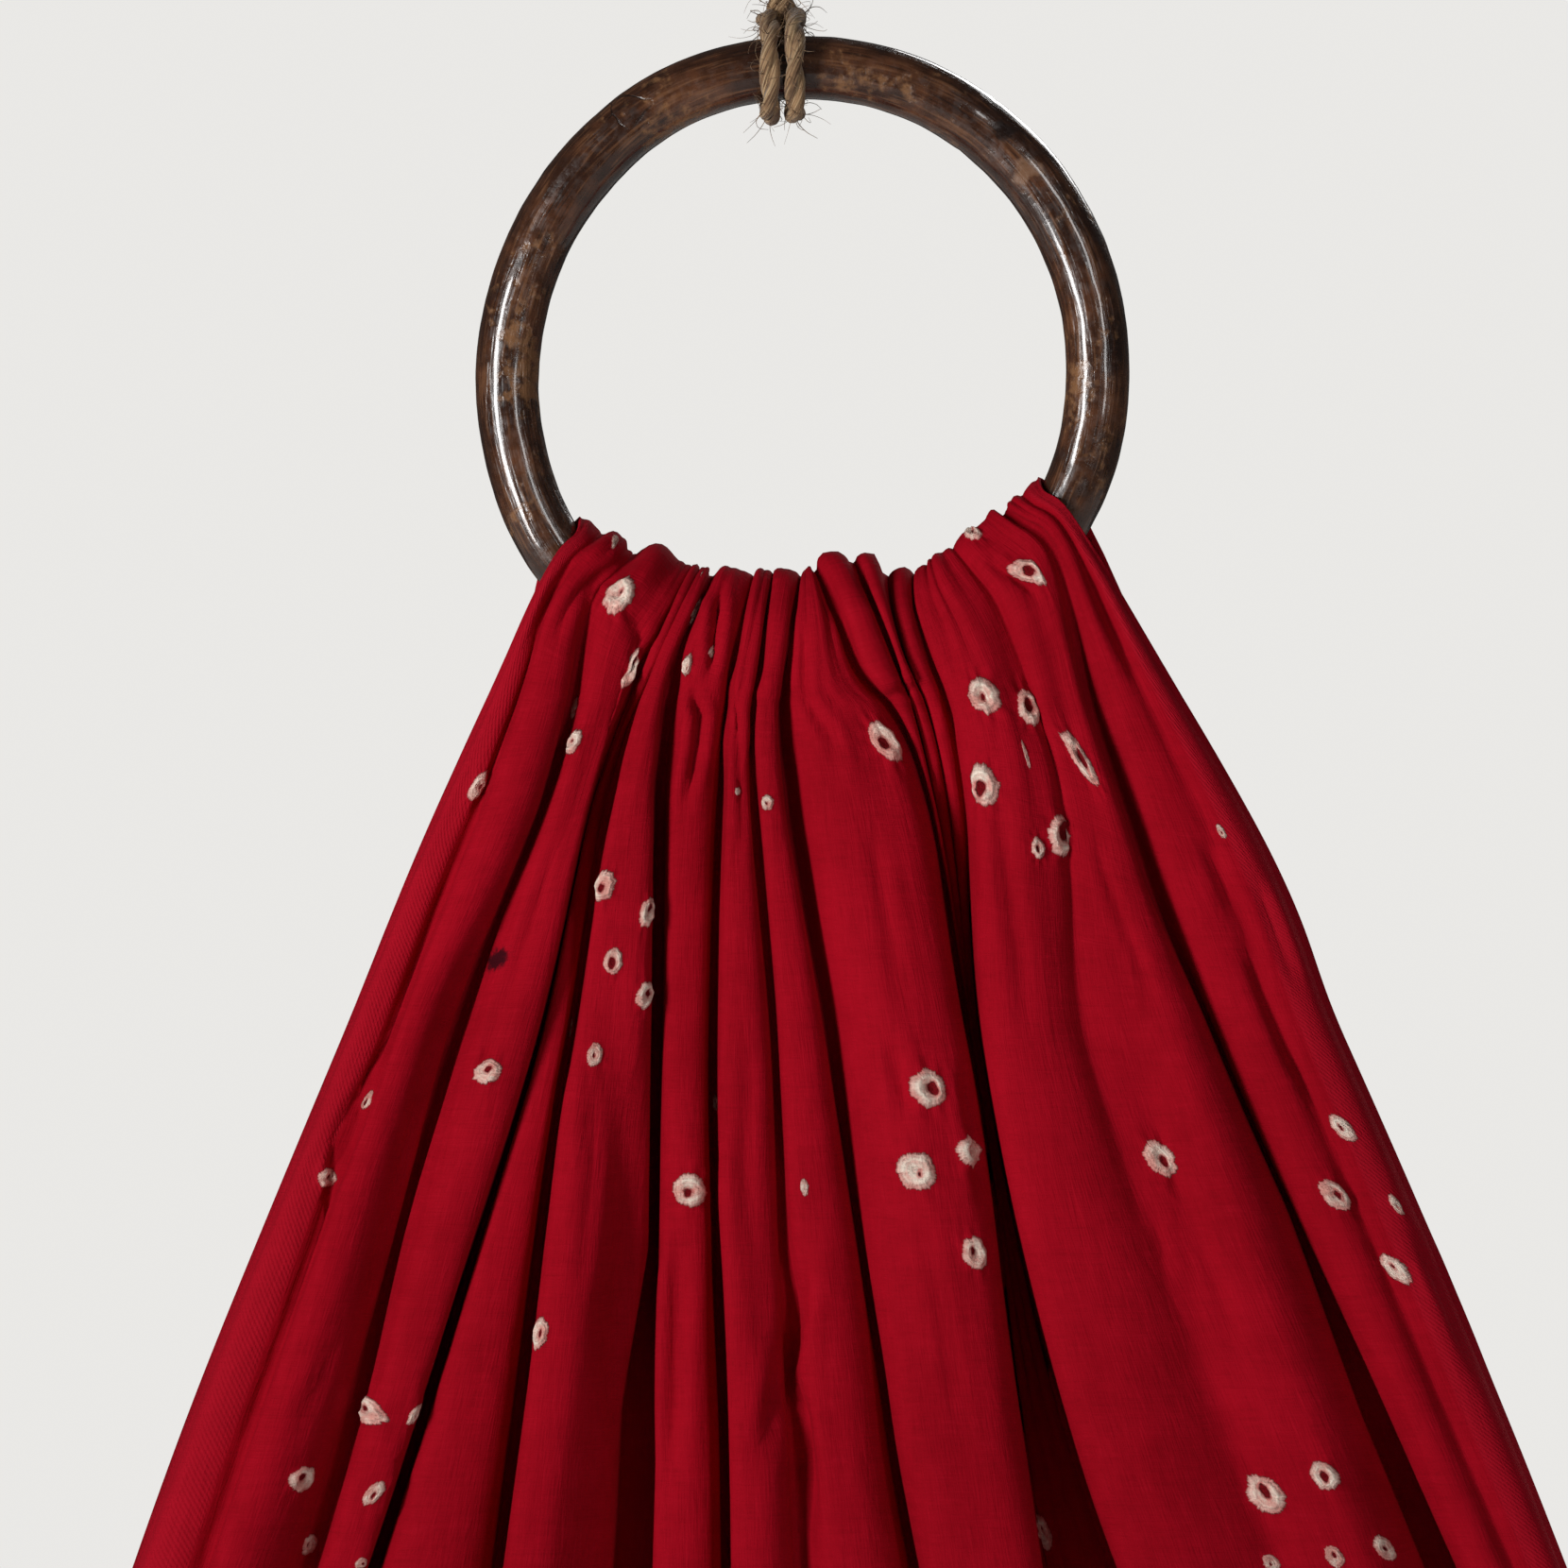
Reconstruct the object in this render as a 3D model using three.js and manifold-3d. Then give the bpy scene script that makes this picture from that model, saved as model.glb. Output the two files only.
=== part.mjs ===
// A tie-dyed cotton cloth drawn through a lacquered wooden ring that hangs from jute twine.
// Millimetres, +Z up, seen from -Y. The origin is where a hook bears, inside the top of the twine's eye.

import * as THREE from "three";
import { mergeVertices } from "three/addons/utils/BufferGeometryUtils.js";
import Module from "manifold-3d";

// The ring
const ringOutside = 100;
const ringTube = 9.7;
const ringDrop = 106; // from the origin down to the ring's centre
const tubeRadius = ringTube / 2;
const ringRadius = ringOutside / 2 - tubeRadius;
const ringSides = 14;
const ringSteps = 60;

// The twine
const twineAcross = 3.3;
const twineRadius = twineAcross / 2;
const gap = 0.3; // left between one piece and the next
const hitchMiddle = -3; // the hitch sits a little left of the ring's top
const wrapSpacing = 4.1;
const wrapRadius = tubeRadius + gap + twineRadius + 0.25; // the twine's middle round the ring's tube
const tailFoot = 57.6; // height of the tails' lower ends over the ring's centre
const tailDepths = [1.6, 5.4]; // one tail stands behind the other
const tailMiddle = (tailDepths[0] + tailDepths[1]) / 2;
const knotHeight = 8.4;
const knotTurns = 3;
const knotRadius = 3.3;
const knotBulge = 1.3;
const eyeInside = 8; // from the knot's top up to where a hook bears
const eyeHalfWidth = 4.3;
const tailLength = ringDrop - eyeInside - knotHeight - gap - tailFoot;

// The cloth
const clothThick = 1;
const valleyBend = 1.1; // radius of the cloth's middle at the bottom of a valley
const lowestSeat = 1.3; // the cloth's middle over the ring's tube, in front and behind
const sideShare = 0.42; // how much of a crest's rise is left there
const levels = [53, 104, 162, 228]; // heights of the table's columns, below the ring's centre
const backNarrowing = 0.93;
const backShift = 1.5;
const backSetOff = [2, 6, 8, 8];
const backDepth = 0.7;
const backRaise = [0, 1, 3, 12];

// One row for each fold, from the cloth's left edge to its right one. A row starts at its left valley:
//   turn     the valley's place round the ring, in degrees from the bottom
//   x        the valley's place across at the four levels
//   hollow   the valley's distance in front of the ring's plane, at neck, middle and foot
//   peak     how far across the fold its crest lies, at neck and foot
//   proud    the crest's distance in front of the ring's plane, at neck, middle and foot
//   seat     the valley's height over the ring's tube, and rise the crest's
//   steps    the faces in half the fold
const folds = [
  { name: "selvedge", turn: -53.5, x: [-48.8, -70.4, -94.1, -117], hollow: [5.5, 7, 8],
    peak: [0.5, 0.5], proud: [8, 12, 14], seat: 1.3, rise: 1.5, steps: 2 },
  { name: "edge fold", turn: -49.5, x: [-43.9, -63.4, -83.7, -105], hollow: [6.5, 10, 12],
    peak: [0.45, 0.25], proud: [11, 17, 22], seat: 1.4, rise: 1.9, steps: 3 },
  { name: "left fold", turn: -42, x: [-35.1, -54, -67.8, -88], hollow: [5.5, 7, 9],
    peak: [0.6, 0.7], proud: [10, 15, 17], seat: 1.6, rise: 4.5, steps: 3 },
  { name: "tucked fold", turn: -28.5, x: [-27.8, -40.3, -58.1, -79], hollow: [4, -1, -1],
    peak: [0.5, 0.5], proud: [4.5, 13, 19], seat: 4.2, rise: 5.6, steps: 3 },
  { name: "broad left fold", turn: -24.2, x: [-24.4, -36.3, -43.9, -52], hollow: [4, 4, 3],
    peak: [0.42, 0.28], proud: [10.5, 18, 24], seat: 4.7, rise: 6.2, steps: 4 },
  { name: "narrow fold", turn: -18.8, x: [-19.9, -22.3, -23, -25], hollow: [4, -1, -1],
    peak: [0.5, 0.5], proud: [9, 12.5, 17], seat: 5.2, rise: 7.3, steps: 3 },
  { name: "middle left fold", turn: -12.6, x: [-11.4, -13.2, -12.1, -10.5], hollow: [4.5, 3, 3],
    peak: [0.55, 0.42], proud: [10.5, 17, 22], seat: 6.4, rise: 8.1, steps: 3 },
  { name: "middle fold", turn: -6, x: [-6.4, -4.2, -1.3, 3], hollow: [7, 11, 15],
    peak: [0.5, 0.5], proud: [11, 17, 21], seat: 7, rise: 8.5, steps: 3 },
  { name: "full right fold", turn: 0.6, x: [-3, 4.2, 13.6, 26], hollow: [4.5, 3, 4],
    peak: [0.66, 0.45], proud: [12, 20, 25], seat: 4, rise: 10.6, steps: 4 },
  { name: "inner pleat", turn: 11, x: [15.5, 23.4, 32.6, 44], hollow: [4.5, -1, -1],
    peak: [0.5, 0.5], proud: [6.5, 0, 1], seat: 7.9, rise: 9.2, steps: 2 },
  { name: "second inner pleat", turn: 19.5, x: [19.3, 26.6, 37.4, 54], hollow: [4.5, -1, -1],
    peak: [0.5, 0.5], proud: [6.5, 0, 1], seat: 5, rise: 5.6, steps: 2 },
  { name: "widest fold", turn: 27.5, x: [23.2, 29.8, 41.4, 64], hollow: [4.5, -1, -1],
    peak: [0.5, 0.36], proud: [13, 21, 27], seat: 2.6, rise: 4.8, steps: 4 },
  { name: "widest fold's far side", turn: 39, x: [34.5, 43.5, 65.2, 91.8], hollow: [9, 14, 18],
    peak: [0.5, 0.4], proud: [11, 17.5, 23], seat: 3.2, rise: 4.4, steps: 4 },
  { name: "right fold", turn: 51, x: [44.7, 63.4, 84.2, 115], hollow: [5, 0, -1],
    peak: [0.6, 0.6], proud: [9, 15, 20], seat: 2.2, rise: 2.8, steps: 3 },
  { name: "right edge", turn: 57.5, x: [53.6, 73.6, 95.5, 123], hollow: [7.5, 12, 16],
    peak: [0.45, 0.4], proud: [8.5, 14, 18], seat: 1.5, rise: 1.7, steps: 2 },
];
const lastEdge = { turn: 62.7, x: [59.1, 83.1, 107.8, 133.5], hollow: [5.5, 8, 9], seat: 1.3 };

// The cloth's length as a list of stations: fall levels in front, turns over the ring's tube, and the back's
const stations = [
  { run: 0, side: 1, level: 3 },
  { run: 66, side: 1, level: 2 },
  { run: 124, side: 1, level: 1 },
  { run: 175, side: 1, level: 0 },
  { run: 188, over: 90 },
  { run: 194, over: 45 },
  { run: 200, over: 0 },
  { run: 206, over: -45 },
  { run: 212, over: -90 },
  { run: 225, side: -1, level: 0 },
  { run: 276, side: -1, level: 1 },
  { run: 334, side: -1, level: 2 },
  { run: 388, side: -1, level: 3 },
];
const rows = [
  0, 17, 34, 50, 66, 82, 98, 112, 126, 142, 157, 170, 180, 188, 194, 200, 206, 212, 220, 232, 254, 282, 310,
  336, 362, 388,
];

const radians = THREE.MathUtils.degToRad;
const mix = THREE.MathUtils.lerp;

// The direction from the ring's centre to a place round it, and the ring's tube there
function ringDirection(turn) {
  return new THREE.Vector3(Math.sin(radians(turn)), 0, -Math.cos(radians(turn)));
}

function outOfTube(turn, over) {
  const out = ringDirection(turn).multiplyScalar(-Math.cos(radians(over)));
  return out.add(new THREE.Vector3(0, -Math.sin(radians(over)), 0));
}

function onTube(turn, over, height) {
  const middle = ringDirection(turn).multiplyScalar(ringRadius);
  return middle.addScaledVector(outOfTube(turn, over), tubeRadius + height);
}

// A value given at neck, middle and foot, read at a level of the fall
function atLevel([neck, middle, foot], level) {
  const share = (levels[level] - levels[0]) / (levels[3] - levels[0]);
  const early = mix(neck, middle, 2 * share);
  const late = mix(middle, foot, 2 * share - 1);
  return mix(early, late, share);
}

// Where a rib of the cloth, a valley or a crest, passes each station
function ribPoints(rib) {
  return stations.map(({ side, level, over }) => {
    if (over !== undefined) {
      const height = mix(rib.height, rib.sideHeight, Math.sin(radians(Math.abs(over))));
      return onTube(rib.turn, over, height);
    }
    const proud = atLevel(rib.proud, level);
    const sway = 1.5 * Math.sin(rib.number * 0.4 + level * 1.9);
    if (side > 0) return new THREE.Vector3(rib.x[level], -proud, -levels[level] + (level > 2 ? sway : 0));
    const x = rib.x[level] * backNarrowing + backShift + sway;
    return new THREE.Vector3(x, backSetOff[level] + backDepth * proud, -levels[level] + backRaise[level]);
  });
}

function ribOuts(rib) {
  return stations.map(({ side, over }) =>
    over === undefined ? new THREE.Vector3(0, -side, 0) : outOfTube(rib.turn, over),
  );
}

// A smooth line through the stations' points, read at a run along the cloth
function along(points, run) {
  const last = stations.length - 2;
  const k = Math.min(last, Math.max(0, stations.findLastIndex((s) => s.run <= run)));
  const span = (i) => stations[i + 1].run - stations[i].run;
  const slope = (i) => points[i + 1].clone().sub(points[i]).divideScalar(span(i));
  const tangent = (i) => {
    if (i === 0) return slope(0);
    if (i > last) return slope(last);
    const shareBefore = span(i) / (span(i - 1) + span(i));
    return slope(i - 1).multiplyScalar(shareBefore).addScaledVector(slope(i), 1 - shareBefore);
  };
  const t = (run - stations[k].run) / span(k);
  return new THREE.Vector3()
    .addScaledVector(points[k], 1 + t * t * (2 * t - 3))
    .addScaledVector(tangent(k), span(k) * t * (1 - t) * (1 - t))
    .addScaledVector(points[k + 1], t * t * (3 - 2 * t))
    .addScaledVector(tangent(k + 1), span(k) * t * t * (t - 1));
}

// Half a fold in a few steps from its valley to its crest: a tight bend, a flank and a round crest
function halfFold(step, steps, width, height) {
  const tall = Math.abs(height);
  const tight = Math.min(valleyBend, 0.4 * width);
  const swing = Math.min(Math.PI / 2, 2 * Math.atan2(tall, width));
  if (swing < 0.02) return { across: (step / steps) * width, out: (step / steps) * height };
  const round = width / Math.sin(swing) - tight;
  const bend = tight * swing;
  const flank = Math.max(0, tall - width);
  const length = bend + flank + round * swing;
  const first = mix(length / steps, bend, Math.sin(swing) ** 2);
  const gone = step ? mix(first, length, (step - 1) / (steps - 1)) : 0;
  let across = width - round * Math.sin((length - gone) / round);
  let out = tall - round * (1 - Math.cos((length - gone) / round));
  if (gone <= bend) {
    across = tight * Math.sin(gone / tight);
    out = tight * (1 - Math.cos(gone / tight));
  } else if (gone < bend + flank) {
    across = tight;
    out = tight + gone - bend;
  }
  return { across, out: out * Math.sign(height) };
}

// The ribs from edge to edge: a valley, a crest, a valley and so on
function clothRibs() {
  const ends = [...folds, lastEdge];
  const ribs = [];
  folds.forEach((fold, i) => {
    const next = ends[i + 1];
    ribs.push({
      turn: fold.turn,
      x: fold.x,
      proud: fold.hollow,
      height: fold.seat,
      sideHeight: lowestSeat,
      steps: fold.steps,
    });
    ribs.push({
      turn: mix(fold.turn, next.turn, fold.peak[0]),
      x: fold.x.map((x, level) => mix(x, next.x[level], mix(...fold.peak, level / 3))),
      proud: fold.proud,
      height: fold.rise,
      sideHeight: lowestSeat + sideShare * fold.rise,
      steps: fold.steps,
    });
  });
  ribs.push({ ...lastEdge, proud: lastEdge.hollow, height: lastEdge.seat, sideHeight: lowestSeat });
  ribs.forEach((rib, number) => {
    rib.number = number;
    rib.points = ribPoints(rib);
    rib.outs = ribOuts(rib);
  });
  return ribs;
}

// One row of the cloth's middle, from edge to edge
function clothRow(ribs, run) {
  const row = [];
  ribs.slice(0, -1).forEach((rib, i) => {
    const rising = i % 2 === 0;
    const [valley, crest] = rising ? [rib, ribs[i + 1]] : [ribs[i + 1], rib];
    const foot = along(valley.points, run);
    const step = along(crest.points, run).sub(foot);
    const footOut = along(valley.outs, run).normalize();
    const out = along(crest.outs, run).add(footOut).normalize();
    const height = step.dot(out);
    const across = step.clone().addScaledVector(out, -height);
    const width = across.length();
    for (let k = 0; k < rib.steps; k++) {
      const half = halfFold(rising ? k : rib.steps - k, rib.steps, width, height);
      row.push(foot.clone().addScaledVector(across, half.across / width).addScaledVector(out, half.out));
    }
  });
  row.push(along(ribs.at(-1).points, run));
  return row;
}

// A grid of points as a closed sheet of even thickness
function thickSheet(grid, thick) {
  const high = grid.length;
  const wide = grid[0].length;
  const at = (r, c) => grid[Math.min(high - 1, Math.max(0, r))][Math.min(wide - 1, Math.max(0, c))];
  const corners = [];
  for (const side of [0.5, -0.5]) {
    for (let r = 0; r < high; r++) {
      for (let c = 0; c < wide; c++) {
        const lengthwise = at(r + 1, c).clone().sub(at(r - 1, c));
        const before = at(r, c).clone().sub(at(r, c - 1)).normalize();
        const after = at(r, c + 1).clone().sub(at(r, c)).normalize();
        const normal = before.clone().add(after).cross(lengthwise).normalize();
        const inEdge = c > 0 && c < wide - 1;
        const mitre = inEdge ? Math.max(0.6, Math.sqrt((1 + before.dot(after)) / 2)) : 1;
        corners.push(at(r, c).clone().addScaledVector(normal, (side * thick) / mitre));
      }
    }
  }
  const front = (r, c) => r * wide + c;
  const back = (r, c) => high * wide + front(r, c);
  const faces = [];
  const quad = (a, b, c, d) => faces.push(a, b, c, a, c, d);
  for (let r = 0; r < high - 1; r++) {
    for (let c = 0; c < wide - 1; c++) {
      quad(front(r, c), front(r, c + 1), front(r + 1, c + 1), front(r + 1, c));
      quad(back(r, c), back(r + 1, c), back(r + 1, c + 1), back(r, c + 1));
    }
    quad(front(r, 0), front(r + 1, 0), back(r + 1, 0), back(r, 0));
    quad(front(r, wide - 1), back(r, wide - 1), back(r + 1, wide - 1), front(r + 1, wide - 1));
  }
  for (let c = 0; c < wide - 1; c++) {
    quad(front(0, c), back(0, c), back(0, c + 1), front(0, c + 1));
    quad(front(high - 1, c), front(high - 1, c + 1), back(high - 1, c + 1), back(high - 1, c));
  }
  return new THREE.BufferGeometry().setFromPoints(corners).setIndex(faces);
}

function clothGeometry() {
  const ribs = clothRibs();
  const grid = rows.map((run) => clothRow(ribs, run));
  return thickSheet(grid, clothThick);
}

function ringGeometry() {
  return new THREE.TorusGeometry(ringRadius, tubeRadius, ringSides, ringSteps).rotateX(Math.PI / 2);
}

// A round tube along a smooth curve
function tubeGeometry(curve, radius, sides, steps) {
  const outline = new THREE.Shape();
  for (let i = 0; i < sides; i++) {
    const angle = (2 * Math.PI * i) / sides;
    const place = [radius * Math.cos(angle), radius * Math.sin(angle)];
    if (i) outline.lineTo(...place);
    else outline.moveTo(...place);
  }
  return new THREE.ExtrudeGeometry(outline, { steps, extrudePath: curve });
}

// A place on the hitch: round the ring's tube from its top towards the front, in degrees
function hitchPlace(x, round, out = 0) {
  const reach = wrapRadius + out;
  const angle = radians(round);
  const middle = Math.sqrt(ringRadius ** 2 - x ** 2);
  return new THREE.Vector3(x, -reach * Math.sin(angle), middle + reach * Math.cos(angle));
}

// A cow hitch: each end comes down behind the ring and wraps it, and both meet in a bight behind the ends
function hitchGeometry(library) {
  const wrap = wrapSpacing / 2;
  const leg = (side) => {
    const depth = tailDepths[side < 0 ? 0 : 1];
    return [
      new THREE.Vector3(hitchMiddle, depth, tailFoot - gap),
      new THREE.Vector3(hitchMiddle, depth, tailFoot - 1.3),
      new THREE.Vector3(hitchMiddle + side * 0.9, depth + 0.5, tailFoot - 3.4),
      hitchPlace(hitchMiddle + side * 1.72, -50, 0.3),
      hitchPlace(hitchMiddle + side * wrap, -90),
      hitchPlace(hitchMiddle + side * wrap, -130),
    ];
  };
  const around = (side) => [
    ...[-110, -145, -180, -220, -265, -310, -345].map((round) => hitchPlace(hitchMiddle + side * wrap, round)),
    hitchPlace(hitchMiddle + side * (wrap + 0.1), -375, 1.2),
    hitchPlace(hitchMiddle + side * (wrap + 0.5), -402, 3.2),
  ];
  const bight = hitchPlace(hitchMiddle, -422, 5);
  const routes = [
    { route: [...around(-1), bight, ...around(1).reverse()], steps: 60 },
    { route: leg(-1), steps: 12 },
    { route: leg(1), steps: 12 },
  ];
  const tubes = routes.map(({ route, steps }) => {
    const curve = new THREE.CatmullRomCurve3(route, false, "centripetal");
    return solidFrom(library, tubeGeometry(curve, twineRadius, 8, steps));
  });
  return geometryFrom(tubes.reduce((all, tube) => all.add(tube)));
}

function tailGeometry(depth) {
  const foot = new THREE.Vector3(hitchMiddle, depth, tailFoot);
  const head = new THREE.Vector3(hitchMiddle, depth, tailFoot + tailLength);
  return tubeGeometry(new THREE.LineCurve3(foot, head), twineRadius, 8, 4);
}

function merged(geometry) {
  geometry.deleteAttribute("normal");
  geometry.deleteAttribute("uv");
  return mergeVertices(geometry, 1e-3);
}

function solidFrom(library, geometry) {
  const closed = merged(geometry);
  return new library.Manifold(
    new library.Mesh({
      numProp: 3,
      vertProperties: new Float32Array(closed.getAttribute("position").array),
      triVerts: new Uint32Array(closed.index.array),
    }),
  );
}

function geometryFrom(solid) {
  const mesh = solid.getMesh();
  return new THREE.BufferGeometry()
    .setAttribute("position", new THREE.BufferAttribute(mesh.vertProperties, 3))
    .setIndex(new THREE.BufferAttribute(mesh.triVerts, 1));
}

// The knot over the tails, a few round turns high, and the eye that stands on it
function knotGeometry(library) {
  const foot = tailFoot + tailLength + gap;
  const stepsEach = 4;
  const profile = [new THREE.Vector2(0, 0)];
  for (let i = 0; i <= knotTurns * stepsEach; i++) {
    const bulge = Math.abs(Math.sin((Math.PI * i) / stepsEach));
    profile.push(new THREE.Vector2(knotRadius + knotBulge * bulge, (knotHeight * i) / (knotTurns * stepsEach)));
  }
  profile.push(new THREE.Vector2(0, knotHeight));
  const body = new THREE.LatheGeometry(profile, 16).rotateX(Math.PI / 2);
  body.translate(hitchMiddle, tailMiddle, foot);
  const eyePoints = [
    [-0.4, -2.5], [-0.62, 0.8], [-1, 4.2], [-0.82, 7.7], [0, eyeInside + twineRadius],
    [0.82, 7.7], [1, 4.2], [0.62, 0.8], [0.4, -2.5],
  ].map(([x, z]) => new THREE.Vector3(hitchMiddle + x * eyeHalfWidth, tailMiddle, foot + knotHeight + z));
  const eye = tubeGeometry(new THREE.CatmullRomCurve3(eyePoints, false, "centripetal"), twineRadius, 8, 26);
  return geometryFrom(solidFrom(library, body).add(solidFrom(library, eye)));
}

const library = await Module();
library.setup();

const cotton = new THREE.MeshStandardMaterial({ color: "#8e0a18", roughness: 0.85, side: THREE.DoubleSide });
const lacquer = new THREE.MeshStandardMaterial({ color: "#42291c", roughness: 0.25 });
const jute = new THREE.MeshStandardMaterial({ color: "#b19772", roughness: 0.95 });

function piece(name, geometry, material) {
  const mesh = new THREE.Mesh(geometry, material);
  mesh.name = name;
  return mesh;
}

const hanging = new THREE.Group();
hanging.position.set(-hitchMiddle, -tailMiddle, -ringDrop);
hanging.add(piece("ring", ringGeometry(), lacquer));
hanging.add(piece("cloth", clothGeometry(), cotton));
hanging.add(piece("twine_hitch", hitchGeometry(library), jute));
hanging.add(piece("twine_tail_front", tailGeometry(tailDepths[0]), jute));
hanging.add(piece("twine_tail_back", tailGeometry(tailDepths[1]), jute));
hanging.add(piece("twine_knot", knotGeometry(library), jute));

const part = new THREE.Group();
part.add(hanging);

export default part;
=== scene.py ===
import math
import random

import bmesh
import bpy
import numpy as np
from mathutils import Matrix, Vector, noise
from mathutils.bvhtree import BVHTree


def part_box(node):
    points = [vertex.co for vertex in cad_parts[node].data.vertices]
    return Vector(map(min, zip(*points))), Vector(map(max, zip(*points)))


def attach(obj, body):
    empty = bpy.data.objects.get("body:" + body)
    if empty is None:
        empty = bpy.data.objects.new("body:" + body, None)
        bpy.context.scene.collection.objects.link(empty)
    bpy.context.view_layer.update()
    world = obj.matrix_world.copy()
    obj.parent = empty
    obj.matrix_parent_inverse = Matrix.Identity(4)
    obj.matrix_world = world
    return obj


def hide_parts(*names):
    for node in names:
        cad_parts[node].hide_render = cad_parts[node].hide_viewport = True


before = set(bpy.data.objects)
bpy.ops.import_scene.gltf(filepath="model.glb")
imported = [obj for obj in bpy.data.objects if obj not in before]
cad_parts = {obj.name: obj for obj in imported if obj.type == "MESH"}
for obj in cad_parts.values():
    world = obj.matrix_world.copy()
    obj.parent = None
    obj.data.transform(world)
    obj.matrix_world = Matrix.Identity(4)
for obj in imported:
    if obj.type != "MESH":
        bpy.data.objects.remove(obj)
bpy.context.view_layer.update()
mm = 0.001

# every place below is in millimetres from the ring's centre, and the frame says where that is
ringLow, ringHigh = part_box("ring")
ringCentre = (Vector(ringLow) + Vector(ringHigh)) / 2


def inFrame(place):
    return ringCentre + Vector(place) * mm


print("frame loaded, the ring's centre is at", [round(value, 4) for value in ringCentre])

# a level camera straight on, with a long lens
shot = {
    "across": 240,  # what the picture takes in at the ring
    "sensor": 36,
    "centre": (-2.75, -64.45),
    "distance": 2400,
}


def addCamera():
    across, high = shot["centre"]
    place = inFrame((across, -shot["distance"], high))
    bpy.ops.object.camera_add(location=place, rotation=(math.pi / 2, 0, 0))
    camera = bpy.context.object
    camera.data.sensor_width = shot["sensor"]
    camera.data.lens = shot["sensor"] * shot["distance"] / shot["across"]
    camera.data.clip_end = 60
    bpy.context.scene.camera = camera
    bpy.context.scene.view_settings.view_transform = "Standard"


addCamera()
print("camera placed")

# small helpers for node trees


def newMaterial(name):
    material = bpy.data.materials.new(name)
    material.use_nodes = True
    return material, material.node_tree, material.node_tree.nodes["Principled BSDF"]


def setInputs(node, values):
    for socket, value in values.items():
        node.inputs[socket].default_value = value


def addNode(tree, kind, values=None, **settings):
    node = tree.nodes.new(kind)
    for name, value in settings.items():
        setattr(node, name, value)
    setInputs(node, values or {})
    return node


# links each item that is a socket and sets each one that is a value
def feed(tree, node, items):
    for place, item in enumerate(items):
        if isinstance(item, (int, float, tuple)):
            node.inputs[place].default_value = item
        else:
            tree.links.new(item, node.inputs[place])
    return node


def sumUp(tree, operation, *items):
    return feed(tree, addNode(tree, "ShaderNodeMath", operation=operation), items).outputs[0]


def times(tree, first, second):
    return sumUp(tree, "MULTIPLY", first, second)


def plus(tree, first, second):
    return sumUp(tree, "ADD", first, second)


def vectorSum(tree, operation, *items, output="Vector"):
    return feed(tree, addNode(tree, "ShaderNodeVectorMath", operation=operation), items).outputs[output]


def separate(tree, vector):
    return feed(tree, addNode(tree, "ShaderNodeSeparateXYZ"), [vector]).outputs


def combine(tree, *items):
    return feed(tree, addNode(tree, "ShaderNodeCombineXYZ"), items).outputs[0]


def remap(tree, value, low, high, toLow=0.0, toHigh=1.0, smooth=True):
    node = addNode(tree, "ShaderNodeMapRange", interpolation_type="SMOOTHSTEP" if smooth else "LINEAR")
    tree.links.new(value, node.inputs["Value"])
    setInputs(node, {"From Min": low, "From Max": high, "To Min": toLow, "To Max": toHigh})
    return node.outputs["Result"]


def blendColours(tree, share, under, over):
    node = addNode(tree, "ShaderNodeMix", data_type="RGBA")
    for socket, item in ((0, share), (6, under), (7, over)):
        if isinstance(item, (int, float)):
            node.inputs[socket].default_value = item
        elif isinstance(item, tuple):
            node.inputs[socket].default_value = (*item, 1)
        else:
            tree.links.new(item, node.inputs[socket])
    return node.outputs[2]


def noiseAt(tree, vector, scale, detail=2.0, roughness=0.5, distortion=0.0):
    node = addNode(tree, "ShaderNodeTexNoise", {
        "Scale": scale, "Detail": detail, "Roughness": roughness, "Distortion": distortion,
    })
    tree.links.new(vector, node.inputs["Vector"])
    return node.outputs["Fac"]


def stretch(tree, vector, scale, turn=0.0):
    node = addNode(tree, "ShaderNodeMapping", {"Scale": scale, "Rotation": (0, 0, turn)})
    tree.links.new(vector, node.inputs["Vector"])
    return node.outputs["Vector"]


def addBump(tree, height, distance, strength=1.0, normal=None):
    node = addNode(tree, "ShaderNodeBump", {"Strength": strength, "Distance": distance})
    tree.links.new(height, node.inputs["Height"])
    if normal is not None:
        tree.links.new(normal, node.inputs["Normal"])
    return node.outputs["Normal"]


def newGroup(name, inputs, outputs):
    group = bpy.data.node_groups.new(name, "ShaderNodeTree")
    for label, kind, value in inputs:
        socket = group.interface.new_socket(label, in_out="INPUT", socket_type=kind)
        if value is not None:
            socket.default_value = value
    for label, kind in outputs:
        group.interface.new_socket(label, in_out="OUTPUT", socket_type=kind)
    return group, group.nodes.new("NodeGroupInput"), group.nodes.new("NodeGroupOutput")


def useGroup(tree, group, vector, values):
    node = addNode(tree, "ShaderNodeGroup", node_tree=group)
    tree.links.new(vector, node.inputs["Vector"])
    setInputs(node, values)
    return node


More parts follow.
